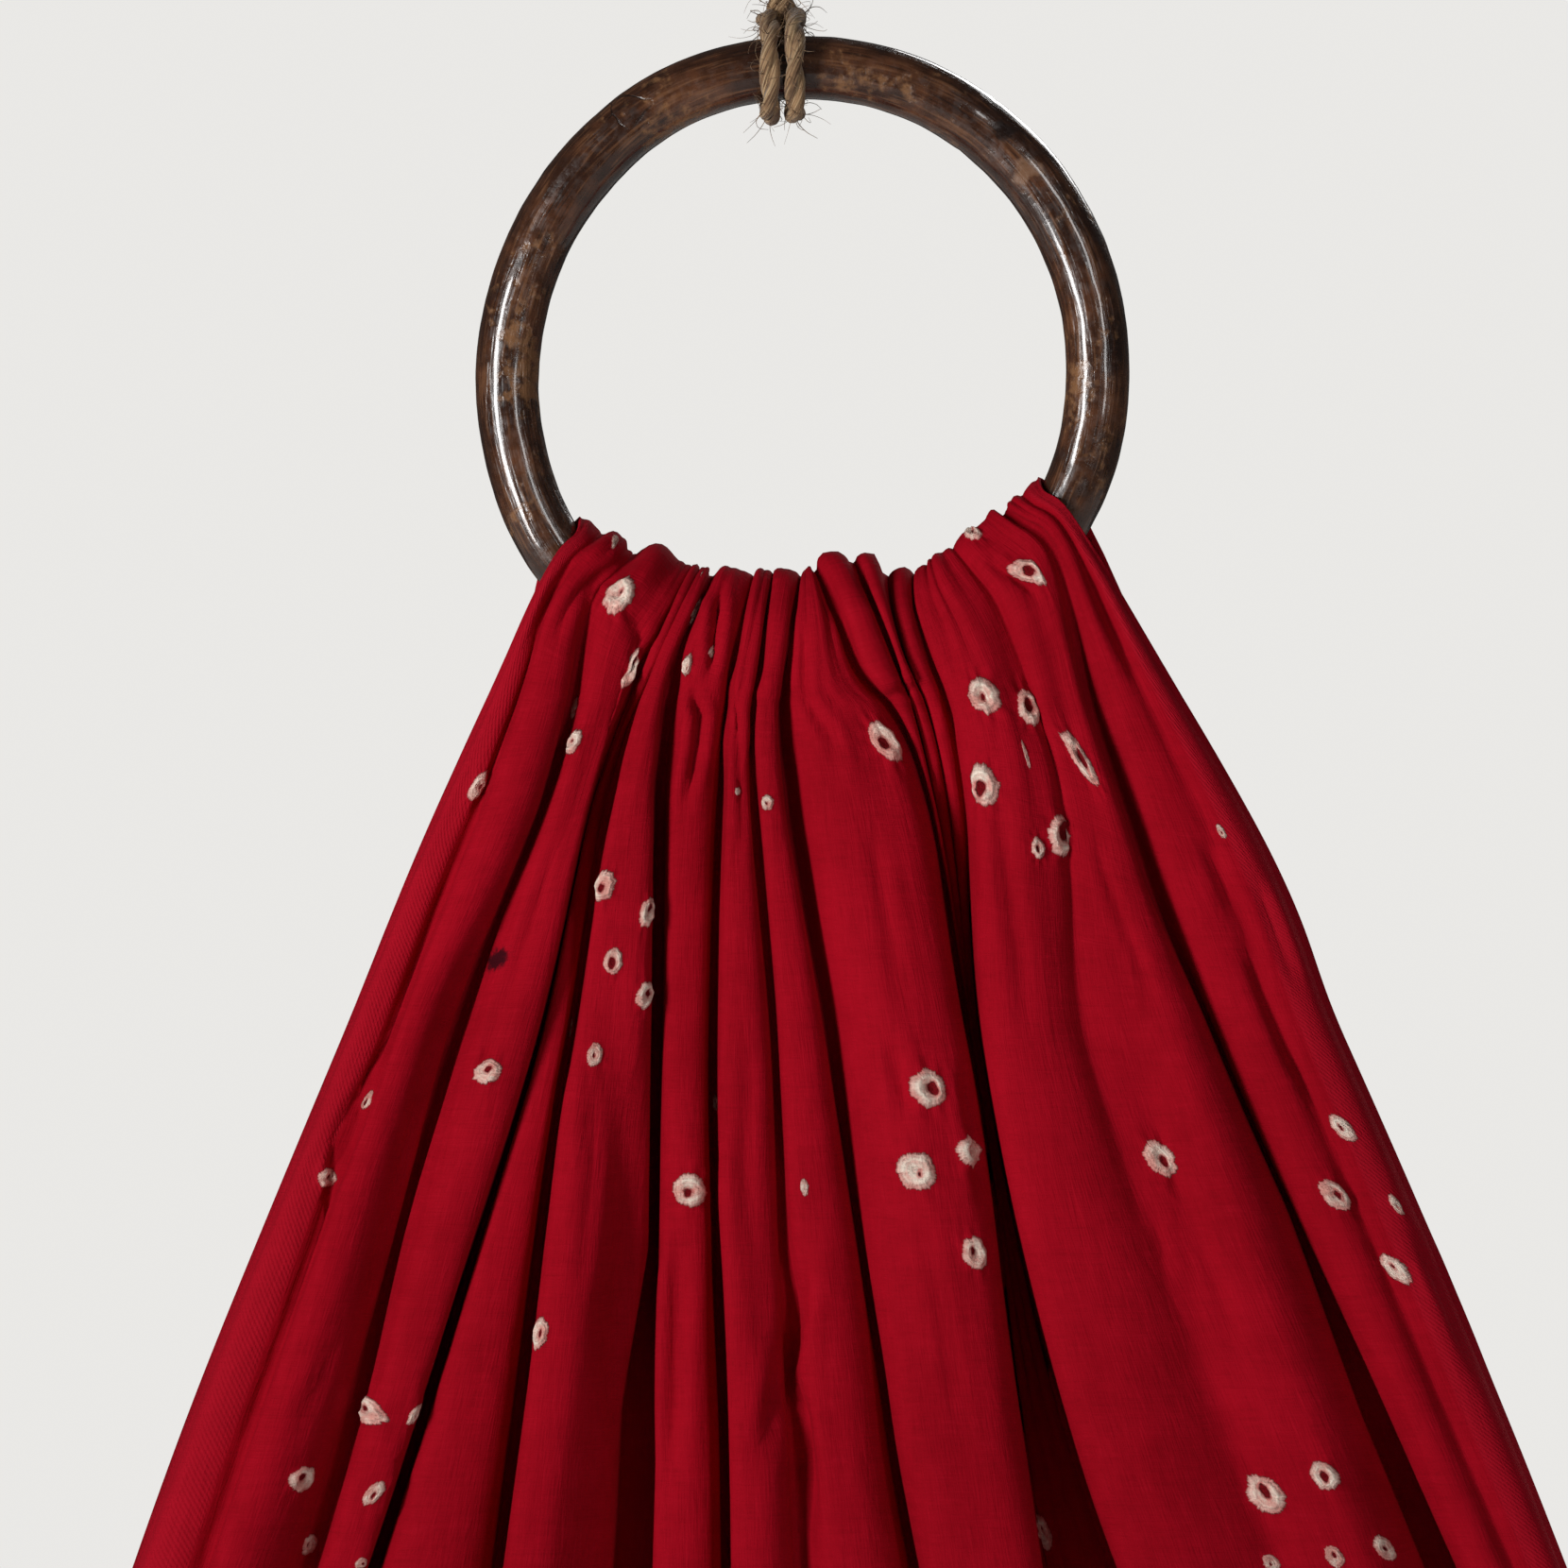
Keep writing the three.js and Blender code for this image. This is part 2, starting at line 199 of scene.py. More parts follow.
# fine streaks that run along a thread, a fibre or a grain, with here and there a thick one
def makeStreaks():
    group, given, result = newGroup(
        "streaks",
        [("Vector", "NodeSocketVector", None), ("Width", "NodeSocketFloat", 0.4),
         ("Length", "NodeSocketFloat", 6.0), ("Thick", "NodeSocketFloat", 0.5)],
        [("Height", "NodeSocketFloat"), ("Tint", "NodeSocketFloat")],
    )
    parts = separate(group, given.outputs["Vector"])
    across = sumUp(group, "DIVIDE", parts[0], given.outputs["Width"])
    along = sumUp(group, "DIVIDE", parts[1], given.outputs["Length"])
    place = combine(group, across, along)
    fine = noiseAt(group, place, 1.0, 1.0, 0.6)
    wide = noiseAt(group, stretch(group, place, (0.22, 0.5, 1)), 1.0, 1.0)
    thick = remap(group, wide, 0.56, 0.72)
    thickShare = times(group, thick, given.outputs["Thick"])
    height = plus(group, fine, thickShare)
    group.links.new(height, result.inputs["Height"])
    tint = plus(group, times(group, fine, 0.6), times(group, wide, 0.4))
    group.links.new(tint, result.inputs["Tint"])
    return group


streaks = makeStreaks()


# blotches of two sizes, for worn lacquer and uneven dye
def makeBlotches():
    group, given, result = newGroup(
        "blotches",
        [("Vector", "NodeSocketVector", None), ("Large", "NodeSocketFloat", 100.0),
         ("Small", "NodeSocketFloat", 400.0), ("Low", "NodeSocketFloat", 0.4),
         ("High", "NodeSocketFloat", 0.65)],
        [("Mask", "NodeSocketFloat")],
    )
    fields = []
    for label in ("Large", "Small"):
        node = addNode(group, "ShaderNodeTexNoise", {"Detail": 3.0})
        group.links.new(given.outputs["Vector"], node.inputs["Vector"])
        group.links.new(given.outputs[label], node.inputs["Scale"])
        fields.append(node.outputs["Fac"])
    large = times(group, fields[0], 0.62)
    both = plus(group, large, times(group, fields[1], 0.38))
    node = addNode(group, "ShaderNodeMapRange", interpolation_type="SMOOTHSTEP")
    group.links.new(both, node.inputs["Value"])
    group.links.new(given.outputs["Low"], node.inputs["From Min"])
    group.links.new(given.outputs["High"], node.inputs["From Max"])
    group.links.new(node.outputs["Result"], result.inputs["Mask"])
    return group


blotches = makeBlotches()
print("shared node groups made")

# the twine: two plies twisted together, looped round the ring's top in a cow hitch
twine = {
    "across": 3.3,
    "plyRadius": 1.02,
    "plyOffset": 0.62,
    "plyWide": 1.08,  # a ply's width over its depth
    "twist": 17,  # length of one whole turn of the plies
    "sides": 10,
    "step": 0.42,
    "hitchMiddle": -3,
    "wrapSpacing": 3.8,
    "gap": 0.3,
    "hitchLift": 0.25,
    "tailFoot": 57.6,
    "tailDepths": (1.6, 5.4),
    "knotHeight": 8.4,
    "eyeInside": 8,
    "eyeHalfWidth": 4.3,
    "knotTurns": 2.6,
    "knotReach": 2.95,  # from the knot's middle to the line of its wraps
    "knotTuck": 0.9,  # how far their two ends tuck in
    "knotEnd": 1.7,
    "knotCore": 2.5,
    "tubeRadius": 4.85,
    "ringRadius": 45.15,
    "ringDrop": 106,
    "strayHairs": 210,
    "hairReach": 5.5,
    "hairThin": 0.05,
    "hairThick": 0.1,
    "eyeHairs": 14,
    "eyeHairReach": 4,
    "lumps": 0.09,
    # colours: the straw's own two, then the fibres that catch light and the gaps between them
    "dull": (0.17, 0.085, 0.040),
    "fresh": (0.34, 0.20, 0.10),
    "bright": (0.50, 0.34, 0.19),
    "gapShade": (0.10, 0.055, 0.03),
}
twine["tailMiddle"] = sum(twine["tailDepths"]) / 2
twine["tailLength"] = (twine["ringDrop"] - twine["eyeInside"] - twine["knotHeight"] - twine["gap"]
                       - twine["tailFoot"])


def between(one, two, at, low, high):
    return one + (two - one) * ((at - low) / (high - low))


# a smooth line through chosen points, in even steps
def smoothRoute(points, step):
    points = [Vector(point) for point in points]
    points = [2 * points[0] - points[1], *points, 2 * points[-1] - points[-2]]
    pieces = 24
    fine = []
    for before, start, end, after in zip(points, points[1:], points[2:], points[3:]):
        knots = [0.0]
        for one, two in ((before, start), (start, end), (end, after)):
            knots.append(knots[-1] + max(1e-6, (two - one).length) ** 0.5)
        first, second, third, fourth = knots
        for k in range(pieces):
            at = second + (third - second) * k / pieces
            middle = between(start, end, at, second, third)
            left = between(between(before, start, at, first, second), middle, at, first, third)
            right = between(middle, between(end, after, at, third, fourth), at, second, fourth)
            fine.append(between(left, right, at, second, third))
    fine.append(points[-2])
    gone = [0.0]
    for one, two in zip(fine, fine[1:]):
        gone.append(gone[-1] + (two - one).length)
    count = max(2, round(gone[-1] / step))
    even = []
    for k in range(count + 1):
        want = gone[-1] * k / count
        even.append(Vector([np.interp(want, gone, [point[axis] for point in fine]) for axis in range(3)]))
    return even


# two directions square to the route at each of its points, carried along without turning
def sideDirections(route):
    ahead = [(two - one).normalized() for one, two in zip(route, route[1:])]
    ahead.append(ahead[-1])
    side = ahead[0].orthogonal().normalized()
    pairs = []
    for direction in ahead:
        side = (side - direction * side.dot(direction)).normalized()
        pairs.append((side, direction.cross(side)))
    return pairs


# a tube over given rings, closed at both ends, with its own map in millimetres: round it and along it
def tubeOver(name, rings, girth, lengths):
    sides = len(rings[0])
    vertices = [inFrame(corner) for ring in rings for corner in ring]
    faces = []
    maps = []
    for k in range(len(rings) - 1):
        for side in range(sides):
            nextSide = (side + 1) % sides
            faces.append((k * sides + side, k * sides + nextSide,
                          (k + 1) * sides + nextSide, (k + 1) * sides + side))
            left, right = girth * side / sides, girth * (side + 1) / sides
            maps += [(left, lengths[k]), (right, lengths[k]), (right, lengths[k + 1]), (left, lengths[k + 1])]
    last = (len(rings) - 1) * sides
    faces.append(tuple(reversed(range(sides))))
    faces.append(tuple(range(last, last + sides)))
    maps += [(0, lengths[0])] * sides + [(0, lengths[-1])] * sides
    mesh = bpy.data.meshes.new(name)
    mesh.from_pydata(vertices, [], faces)
    layer = mesh.uv_layers.new(name="threadMap")
    layer.data.foreach_set("uv", np.array(maps, dtype=np.float32).ravel())
    mesh.polygons.foreach_set("use_smooth", [True] * len(mesh.polygons))
    piece = bpy.data.objects.new(name, mesh)
    bpy.context.collection.objects.link(piece)
    return piece


def joinPieces(name, parts):
    bpy.ops.object.select_all(action="DESELECT")
    for part in parts:
        part.select_set(True)
    bpy.context.view_layer.objects.active = parts[0]
    if len(parts) > 1:
        bpy.ops.object.join()
    parts[0].name = name
    parts[0].data.name = name
    return parts[0]


# the two plies along one route: each is a lumpy tube that winds round the route's line
def twistedTwine(name, points, phase=0.0, slim=1.0):
    route = smoothRoute(points, twine["step"])
    pairs = sideDirections(route)
    lengths = [k * twine["step"] for k in range(len(route))]
    plies = []
    for ply in range(2):
        rings = []
        for middle, (side, other), gone in zip(route, pairs, lengths):
            turn = 2 * math.pi * gone / twine["twist"] + math.pi * ply + phase
            out = side * math.cos(turn) + other * math.sin(turn)
            sideways = other * math.cos(turn) - side * math.sin(turn)
            lump = 1 + twine["lumps"] * noise.noise(middle * 0.55 + Vector((7 * ply, 0, phase)))
            radius = twine["plyRadius"] * lump * slim
            heart = middle + out * twine["plyOffset"] * slim
            rings.append([
                heart + radius * (out * math.cos(angle) + sideways * math.sin(angle) * twine["plyWide"])
                for angle in [2 * math.pi * k / twine["sides"] for k in range(twine["sides"])]
            ])
        plies.append(tubeOver(name, rings, 2 * math.pi * twine["plyRadius"], lengths))
    return plies


def roundTube(name, points, radius, sides, step, taper=False):
    route = smoothRoute(points, step)
    rings = []
    for k, (middle, (side, other)) in enumerate(zip(route, sideDirections(route))):
        here = radius * (1 - 0.75 * k / len(route)) if taper else radius
        rings.append([
            middle + here * (side * math.cos(angle) + other * math.sin(angle))
            for angle in [2 * math.pi * j / sides for j in range(sides)]
        ])
    return tubeOver(name, rings, 2 * math.pi * radius, [k * step for k in range(len(route))])


# a place on the wrapped twine's line, by how far across it is and its turn round the tube in degrees
def hitchPlace(x, degrees, out=0.0):
    reach = twine["tubeRadius"] + twine["gap"] + twine["across"] / 2 + twine["hitchLift"] + out
    angle = math.radians(degrees)
    middle = math.sqrt(twine["ringRadius"] ** 2 - x ** 2)
    return (x, -reach * math.sin(angle), middle + reach * math.cos(angle))


def hitchRoutes():
    middle = twine["hitchMiddle"]
    wrap = twine["wrapSpacing"] / 2
    foot = twine["tailFoot"]

    def leg(side):
        depth = twine["tailDepths"][0 if side < 0 else 1]
        return [
            (middle, depth, foot - twine["gap"]),
            (middle, depth, foot - 1.3),
            (middle + side * 0.9, depth + 0.5, foot - 3.4),
            hitchPlace(middle + side * 1.72, -50, 0.3),
        ]

    def around(side):
        turns = (-90, -110, -145, -180, -220, -265, -310, -345)
        return [
            *[hitchPlace(middle + side * wrap, degrees) for degrees in turns],
            hitchPlace(middle + side * (wrap + 0.1), -375, 1.2),
            hitchPlace(middle + side * (wrap + 0.5), -402, 3.2),
        ]

    bight = hitchPlace(middle, -422, 5)
    return [*leg(-1), *around(-1), bight, *reversed(around(1)), *reversed(leg(1))]


# loose jute hairs: thin curved threads that start in the twine and stand off it
def strayHairs(name, places, count, seed, reach):
    draw = random.Random(seed)
    hairs = []
    for k in range(count):
        start = Vector(draw.choice(places))
        heading = Vector((draw.uniform(-1, 1), draw.uniform(-0.9, 0.2), draw.uniform(-1, 1))).normalized()
        bend = Vector((draw.uniform(-1, 1), draw.uniform(-0.6, 0.3), draw.uniform(-1.2, 0.6))).normalized()
        length = draw.uniform(0.35, 1) * reach
        first = start + heading * twine["across"] * 0.36
        points = [
            first,
            first + heading * length * 0.4,
            first + heading * length * 0.7 + bend * length * 0.25,
            first + heading * length * 0.8 + bend * length * 0.6,
        ]
        radius = draw.uniform(twine["hairThin"], twine["hairThick"])
        hairs.append(roundTube(name, points, radius, 4, 0.6, taper=True))
    return hairs


def makeTwine():
    route = hitchRoutes()
    hitch = joinPieces("twineHitch", [
        *twistedTwine("twineHitch", route),
        *strayHairs("twineHitch", route, twine["strayHairs"], 11, twine["hairReach"]),
    ])
    middle = twine["hitchMiddle"]
    foot = twine["tailFoot"]
    head = foot + twine["tailLength"]
    tails = []
    for label, depth, phase in zip(("Front", "Back"), twine["tailDepths"], (0.6, 2.1)):
        points = [(middle, depth, foot + (head - foot) * k / 6) for k in range(7)]
        tail = joinPieces("twineTail" + label, twistedTwine("twineTail" + label, points, phase))
        tails.append((tail, smoothRoute(points, twine["step"])))
    return hitch, tails


def makeKnot():
    middle = Vector((twine["hitchMiddle"], twine["tailMiddle"], twine["tailFoot"] + twine["tailLength"]
                     + twine["gap"]))
    high = twine["knotHeight"]
    wraps = []
    steps = 16
    for k in range(round(twine["knotTurns"] * steps) + 1):
        turn = 2 * math.pi * k / steps
        share = k / (twine["knotTurns"] * steps)
        reach = twine["knotReach"] - twine["knotTuck"] * max(0, 1 - 8 * min(share, 1 - share))
        climb = twine["knotEnd"] + (high - 2 * twine["knotEnd"]) * share
        wraps.append(middle + Vector((reach * math.sin(turn), -reach * math.cos(turn), climb)))
    side = twine["eyeHalfWidth"]
    eye = [middle + Vector((x * side, 0, high + z)) for x, z in (
        (-0.4, -2.5), (-0.62, 0.8), (-1, 4.2), (-0.82, 7.7), (0, twine["eyeInside"] + twine["across"] / 2),
        (0.82, 7.7), (1, 4.2), (0.62, 0.8), (0.4, -2.5),
    )]
    core = [middle + Vector((0, 0, z)) for z in (0.3, 2.5, 5.5, high - 0.3)]
    return joinPieces("twineKnot", [
        *twistedTwine("twineKnot", wraps, 0.4, 0.94),
        *twistedTwine("twineKnot", eye, 1.2),
        roundTube("twineKnot", core, twine["knotCore"], 14, 0.8),
        *strayHairs("twineKnot", eye[1:-1] + wraps[4:-4:4], twine["eyeHairs"], 23, twine["eyeHairReach"]),
    ])


def juteMaterial():
    material, tree, shader = newMaterial("juteTwine")
    threads = addNode(tree, "ShaderNodeUVMap", uv_map="threadMap").outputs["UV"]
    place = addNode(tree, "ShaderNodeTexCoord").outputs["Object"]
    fibres = useGroup(tree, streaks, threads, {"Width": 0.3, "Length": 5.0, "Thick": 0.6})
    uneven = useGroup(tree, blotches, place, {"Large": 260.0, "Small": 900.0, "Low": 0.36, "High": 0.62})
    straw = blendColours(tree, uneven.outputs["Mask"], twine["dull"], twine["fresh"])
    light = remap(tree, fibres.outputs["Tint"], 0.47, 0.62)
    colour = blendColours(tree, light, straw, twine["bright"])
    dark = remap(tree, fibres.outputs["Tint"], 0.47, 0.37)
    colour = blendColours(tree, times(tree, dark, 0.75), colour, twine["gapShade"])
    tree.links.new(colour, shader.inputs["Base Color"])
    setInputs(shader, {"Roughness": 0.86, "Sheen Weight": 0.2, "Specular IOR Level": 0.3})
    tree.links.new(addBump(tree, fibres.outputs["Height"], 0.00045, 0.95), shader.inputs["Normal"])
    return material


def dressTwine():
    jute = juteMaterial()
    hitch, tails = makeTwine()
    knot = makeKnot()
    for piece in (hitch, knot, *[tail for tail, route in tails]):
        piece.data.materials.append(jute)
        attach(piece, "root")
    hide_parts("twine_hitch")
    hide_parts("twine_knot")
    for node, (tail, route) in zip(("twine_tail_front", "twine_tail_back"), tails):
        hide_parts(node)


dressTwine()
print("twine twisted and hitched")

# the ring: bent wood under thick dark lacquer
ringLook = {
    "radius": 45.15,
    "tube": 4.85,
    "stepsRound": 288,
    "stepsTube": 56,
    "waver": 0.16,  # how far the hand-worked surface strays
    # how far the bent wood strays from a true circle, by degrees from the top towards the right
    "outOfRound": (
        (-190, 1.3), (-150, 2.3), (-126, 2.5), (-114, 1.2), (-102, 0.5), (-90, -0.1), (-78, -0.7),
        (-66, -0.95), (-48, -0.75), (-36, -0.45), (-24, 0), (0, 0), (30, 0.2), (60, 0), (84, 0), (96, 0.25),
        (108, 0.6), (120, 1), (150, 1.3), (190, 1.3),
    ),
    "jointTurn": 37,  # the scarf joint, in degrees from the top towards the right
    "jointDepth": 0.14,
    "hollowBeside": 0.2,
    # the wood's colours, from its dark and pale blotches to its grain, worn places and cracks
    "darkWood": (0.034, 0.012, 0.006),
    "paleWood": (0.115, 0.042, 0.019),
    "paleGrain": (0.21, 0.092, 0.042),
    "darkGrain": (0.014, 0.006, 0.004),
    "wornWood": (0.27, 0.13, 0.058),
    "crack": (0.008, 0.004, 0.003),
    # where the dark knot and the worn patch below it are, how far they reach in metres, and their colours
    "spots": (
        ((30.9, -3.6, 35.3), 0.0042, (0.011, 0.005, 0.004)),
        ((34.3, -3.4, 29), 0.0048, (0.24, 0.125, 0.07)),
    ),
}


# the ring's own radius at a turn in degrees from its top
def ringReach(turn):
    turns, strays = zip(*ringLook["outOfRound"])
    turn = (turn + 180) % 360 - 180
    return ringLook["radius"] + float(np.mean(np.interp(turn + np.linspace(-10, 10, 9), turns, strays)))


def makeRing():
    bpy.ops.object.select_all(action="DESELECT")
    bpy.ops.mesh.primitive_torus_add(
        major_radius=ringLook["radius"] * mm, minor_radius=ringLook["tube"] * mm,
        major_segments=ringLook["stepsRound"], minor_segments=ringLook["stepsTube"],
        location=ringCentre, rotation=(math.pi / 2, 0, 0), generate_uvs=True,
    )
    ring = bpy.context.object
    ring.name = "lacqueredRing"
    bpy.ops.object.transform_apply(location=True, rotation=True, scale=True)
    mesh = ring.data
    mesh.uv_layers[0].name = "ringMap"
    for vertex in mesh.vertices:
        place = (vertex.co - ringCentre) / mm
        turn = math.atan2(place.x, place.z)
        heart = Vector((math.sin(turn), 0, math.cos(turn))) * ringLook["radius"]
        out = (place - heart).normalized()
        waver = noise.noise(place * 0.09) + 0.45 * noise.noise(place * 0.35 + Vector((9, 0, 0)))
        # the joint runs slantwise over the tube, with a shallow hollow beside it
        slant = math.degrees(turn) - ringLook["jointTurn"] - 4 * math.sin(math.atan2(out.y, out.dot(heart)))
        groove = -ringLook["jointDepth"] * math.exp(-((slant / 0.55) ** 2))
        hollow = -ringLook["hollowBeside"] * math.exp(-(((slant - 3) / 2.6) ** 2)) * max(0, -out.y)
        reach = ringLook["tube"] + ringLook["waver"] * waver + groove + hollow
        heart *= ringReach(math.degrees(turn)) / ringLook["radius"]
        vertex.co = ringCentre + (heart + out * reach) * mm
    bpy.ops.object.shade_smooth()
    return ring


# a few long cracks in the lacquer, bent by noise
def cracksIn(tree, place):
    bent = addNode(tree, "ShaderNodeTexNoise", {"Scale": 130.0, "Detail": 2.0})
    tree.links.new(place, bent.inputs["Vector"])
    mixed = addNode(tree, "ShaderNodeMix", {0: 0.008}, data_type="VECTOR")
    tree.links.new(place, mixed.inputs[4])
    tree.links.new(bent.outputs["Color"], mixed.inputs[5])
    cells = addNode(tree, "ShaderNodeTexVoronoi", {"Scale": 150.0}, feature="DISTANCE_TO_EDGE")
    tree.links.new(mixed.outputs[1], cells.inputs["Vector"])
    crack = remap(tree, cells.outputs["Distance"], 0.0, 0.035, 1.0, 0.0)
    return times(tree, crack, remap(tree, noiseAt(tree, place, 60.0), 0.56, 0.66))


def lacquerMaterial():
    material, tree, shader = newMaterial("darkLacquer")
    place = addNode(tree, "ShaderNodeTexCoord").outputs["Object"]
    roundMap = addNode(tree, "ShaderNodeUVMap", uv_map="ringMap").outputs["UV"]
    length = 2 * math.pi * ringLook["radius"]
    girth = 2 * math.pi * ringLook["tube"]
    parts = separate(tree, roundMap)
    grainMap = combine(tree, times(tree, parts[1], girth), times(tree, parts[0], length))
    grain = useGroup(tree, streaks, grainMap, {"Width": 0.5, "Length": 7.0, "Thick": 0.6})
    wood = useGroup(tree, blotches, place, {"Large": 80.0, "Small": 360.0, "Low": 0.4, "High": 0.66})
    tan = useGroup(tree, blotches, place, {"Large": 75.0, "Small": 640.0, "Low": 0.53, "High": 0.64})
    colour = blendColours(tree, wood.outputs["Mask"], ringLook["darkWood"], ringLook["paleWood"])
    light = remap(tree, grain.outputs["Tint"], 0.5, 0.68)
    colour = blendColours(tree, times(tree, light, 0.6), colour, ringLook["paleGrain"])
    dark = remap(tree, grain.outputs["Tint"], 0.46, 0.34)
    colour = blendColours(tree, times(tree, dark, 0.7), colour, ringLook["darkGrain"])
    colour = blendColours(tree, times(tree, tan.outputs["Mask"], 0.75), colour, ringLook["wornWood"])

    # the dark knot and the worn patch below it
    ragged = times(tree, noiseAt(tree, place, 420.0, 3.0, 0.6), 0.004)
    for spot, reach, tint in ringLook["spots"]:
        away = vectorSum(tree, "DISTANCE", place, tuple(inFrame(spot)), output="Value")
        near = remap(tree, plus(tree, away, ragged), reach, reach - 0.0012)
        colour = blendColours(tree, times(tree, near, 0.85), colour, tint)

    crack = cracksIn(tree, place)
    colour = blendColours(tree, times(tree, crack, 0.8), colour, ringLook["crack"])
    tree.links.new(colour, shader.inputs["Base Color"])
    grit = noiseAt(tree, place, 900.0, 3.0, 0.6)
    tree.links.new(remap(tree, grit, 0.35, 0.7, 0.2, 0.45), shader.inputs["Roughness"])
    worn = remap(tree, tan.outputs["Mask"], 0.2, 0.9, 0.95, 0.5)
    tree.links.new(worn, shader.inputs["Coat Weight"])
    shader.inputs["Coat Roughness"].default_value = 0.1
    dents = noiseAt(tree, place, 130.0, 2.0)
    height = plus(tree, times(tree, grain.outputs["Height"], 0.3), dents)
    height = plus(tree, height, times(tree, grit, 0.16))
    height = sumUp(tree, "SUBTRACT", height, times(tree, crack, 0.3))
    height = sumUp(tree, "SUBTRACT", height, times(tree, tan.outputs["Mask"], 0.22))
    tree.links.new(addBump(tree, height, 0.00055, 0.7), shader.inputs["Normal"])
    return material


def dressRing():
    ring = makeRing()
    ring.data.materials.append(lacquerMaterial())
    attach(ring, "root")
    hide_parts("ring")


dressRing()
print("ring lacquered")

# the cloth: the same folds as the part, one row for each from the left edge to the right one
# turn is in degrees round the ring from its bottom, x at the four levels of the fall, hollow and proud are
# distances in front of the ring at neck, middle and foot, peak is how far across the fold its crest lies at
# neck and foot, and seat and rise are heights over the ring's tube
cloth = {
    "thick": 0.5,
    "hemThick": 1.2,
    "hemDeep": 5,
    "valleyBend": 1.1,  # radius of the bend in a valley
    "openBend": 0.35,  # the same beside a gently sloping side, as a share of the fold's width
    "lowestSeat": 1.3,  # how high the valleys lie where the cloth leaves the tube
    "sideShare": 0.42,  # and how much of its rise a crest keeps there
    "crownFill": 0.75,  # how far the valleys are filled where the cloth lies over the ring
    "levels": (53, 104, 162, 228),
    # how the back fall differs from the front one: width, place across, distance, depth and height
    "backNarrowing": 0.93,
    "backShift": 1.5,
    "backSetOff": (2, 6, 8, 8),
    "backDepth": 0.7,
    "backRaise": (0, 1, 3, 12),
    "sway": 1.5,  # how far the folds wander sideways at the foot and behind
    "length": 388,
    "widthTo": 150,  # each fold's flat width is its mean up to here
    "lastSeen": 205,  # the part of the length that the picture can show ends here
    "columnWidth": 1.38,
    # rows of the mesh: from, to, count
    "rowSpans": ((0, 40, 9), (40, 150, 48), (150, 186, 32), (186, 214, 24), (214, 238, 9), (238, 388, 16)),
    "folds": (
        # turn, x, hollow, peak, proud, seat, rise
        (-55.2, (-48.8, -70.4, -94.1, -117), (5.5, 7, 8), (0.5, 0.5), (8, 12, 14), 0.9, 2),
        (-49.5, (-43.9, -63.4, -83.7, -105), (6.5, 10, 12), (0.45, 0.25), (11, 17, 22), 2, 3.6),
        (-41.5, (-35.1, -54, -67.8, -88), (5.5, 7, 9), (0.66, 0.7), (9.5, 15, 17), 2.4, 7.2),
        (-27.2, (-26.8, -40.3, -58.1, -79), (4, -1, -1), (0.5, 0.5), (4.5, 13, 19), 4.2, 7.2),
        (-26, (-25.4, -35.6, -43.3, -52), (4, 4, 3), (0.42, 0.28), (10, 18, 24), 4.4, 7.4),
        (-23, (-20.1, -22.2, -23, -25), (4, -1, -1), (0.5, 0.5), (9, 12.5, 17), 5, 9),
        (-12.6, (-11.3, -13.2, -12.1, -10.5), (4.5, 3, 3), (0.55, 0.42), (10.5, 17, 22), 6.4, 9.8),
        (-7.8, (-7.4, -4.2, -1.3, 3), (7, 11, 15), (0.5, 0.5), (11, 17, 21), 7, 10),
        (0.4, (-3.2, 4.1, 13.5, 26), (5, 8.5, 9), (0.5, 0.42), (10.5, 20, 25), 3.6, 10),
        (3, (14.2, 26.2, 33.8, 44.2), (4.5, -1, -1), (0.5, 0.5), (8.5, -0.4, -0.4), 6, 12.2),
        (14.4, (17, 26.5, 35.6, 50), (4.5, -1, -1), (0.5, 0.5), (7, -0.5, -0.4), 6.6, 10.8),
        (22, (19, 26.8, 37.6, 56), (4.5, -1, -1), (0.5, 0.5), (6.5, -0.4, -0.4), 4.6, 6.6),
        (28.5, (22.3, 27.1, 39.8, 64), (4.5, -1, -1), (0.5, 0.36), (12, 21, 27), 2.6, 5.2),
        (39, (35.8, 43.5, 65.2, 91.8), (9.2, 16.5, 21), (0.66, 0.42), (11, 17.8, 23), 3.2, 5),
        (54, (44.7, 63.4, 89.6, 119), (6, 4.5, 3), (0.6, 0.6), (9, 15, 20), 2, 2.9),
        (59, (53.2, 74, 98.6, 128), (7.9, 13.4, 17.6), (0.45, 0.4), (8.5, 14, 18), 1.5, 1.7),
    ),
    "lastEdge": (64.2, (59.1, 83.1, 107.8, 133.5), (5.5, 8, 9), 0.8),
    # how far some valleys slide round the ring on its front, in degrees
    "lean": {0: 3, 8: -3.5, 9: 7, 10: 3.4, 11: -3, 12: -5, 14: 0.5, 15: -1, 16: -3},
    "squareLeft": 1.75,  # how flat a fold's crest is towards its left valley, 1 is round
    "roundLeft": {14: 1, 15: 1.2},  # folds that rise more gently there
    # the same towards its right valley, at neck and foot, one pair for each fold
    "squareRight": (
        (1, 1), (1.1, 0.75), (1.7, 1), (1.2, 1.2), (1.8, 0.62), (1.2, 1), (1.2, 0.85), (1.2, 0.9), (1.8, 1.7),
        (1.1, 1), (1.1, 1), (1.1, 1), (1, 0.78), (1.5, 0.65), (1.3, 1.1), (1.2, 1.1),
    ),
    "crestsChange": (50, 165),  # where along the cloth the crests change from foot to neck
}


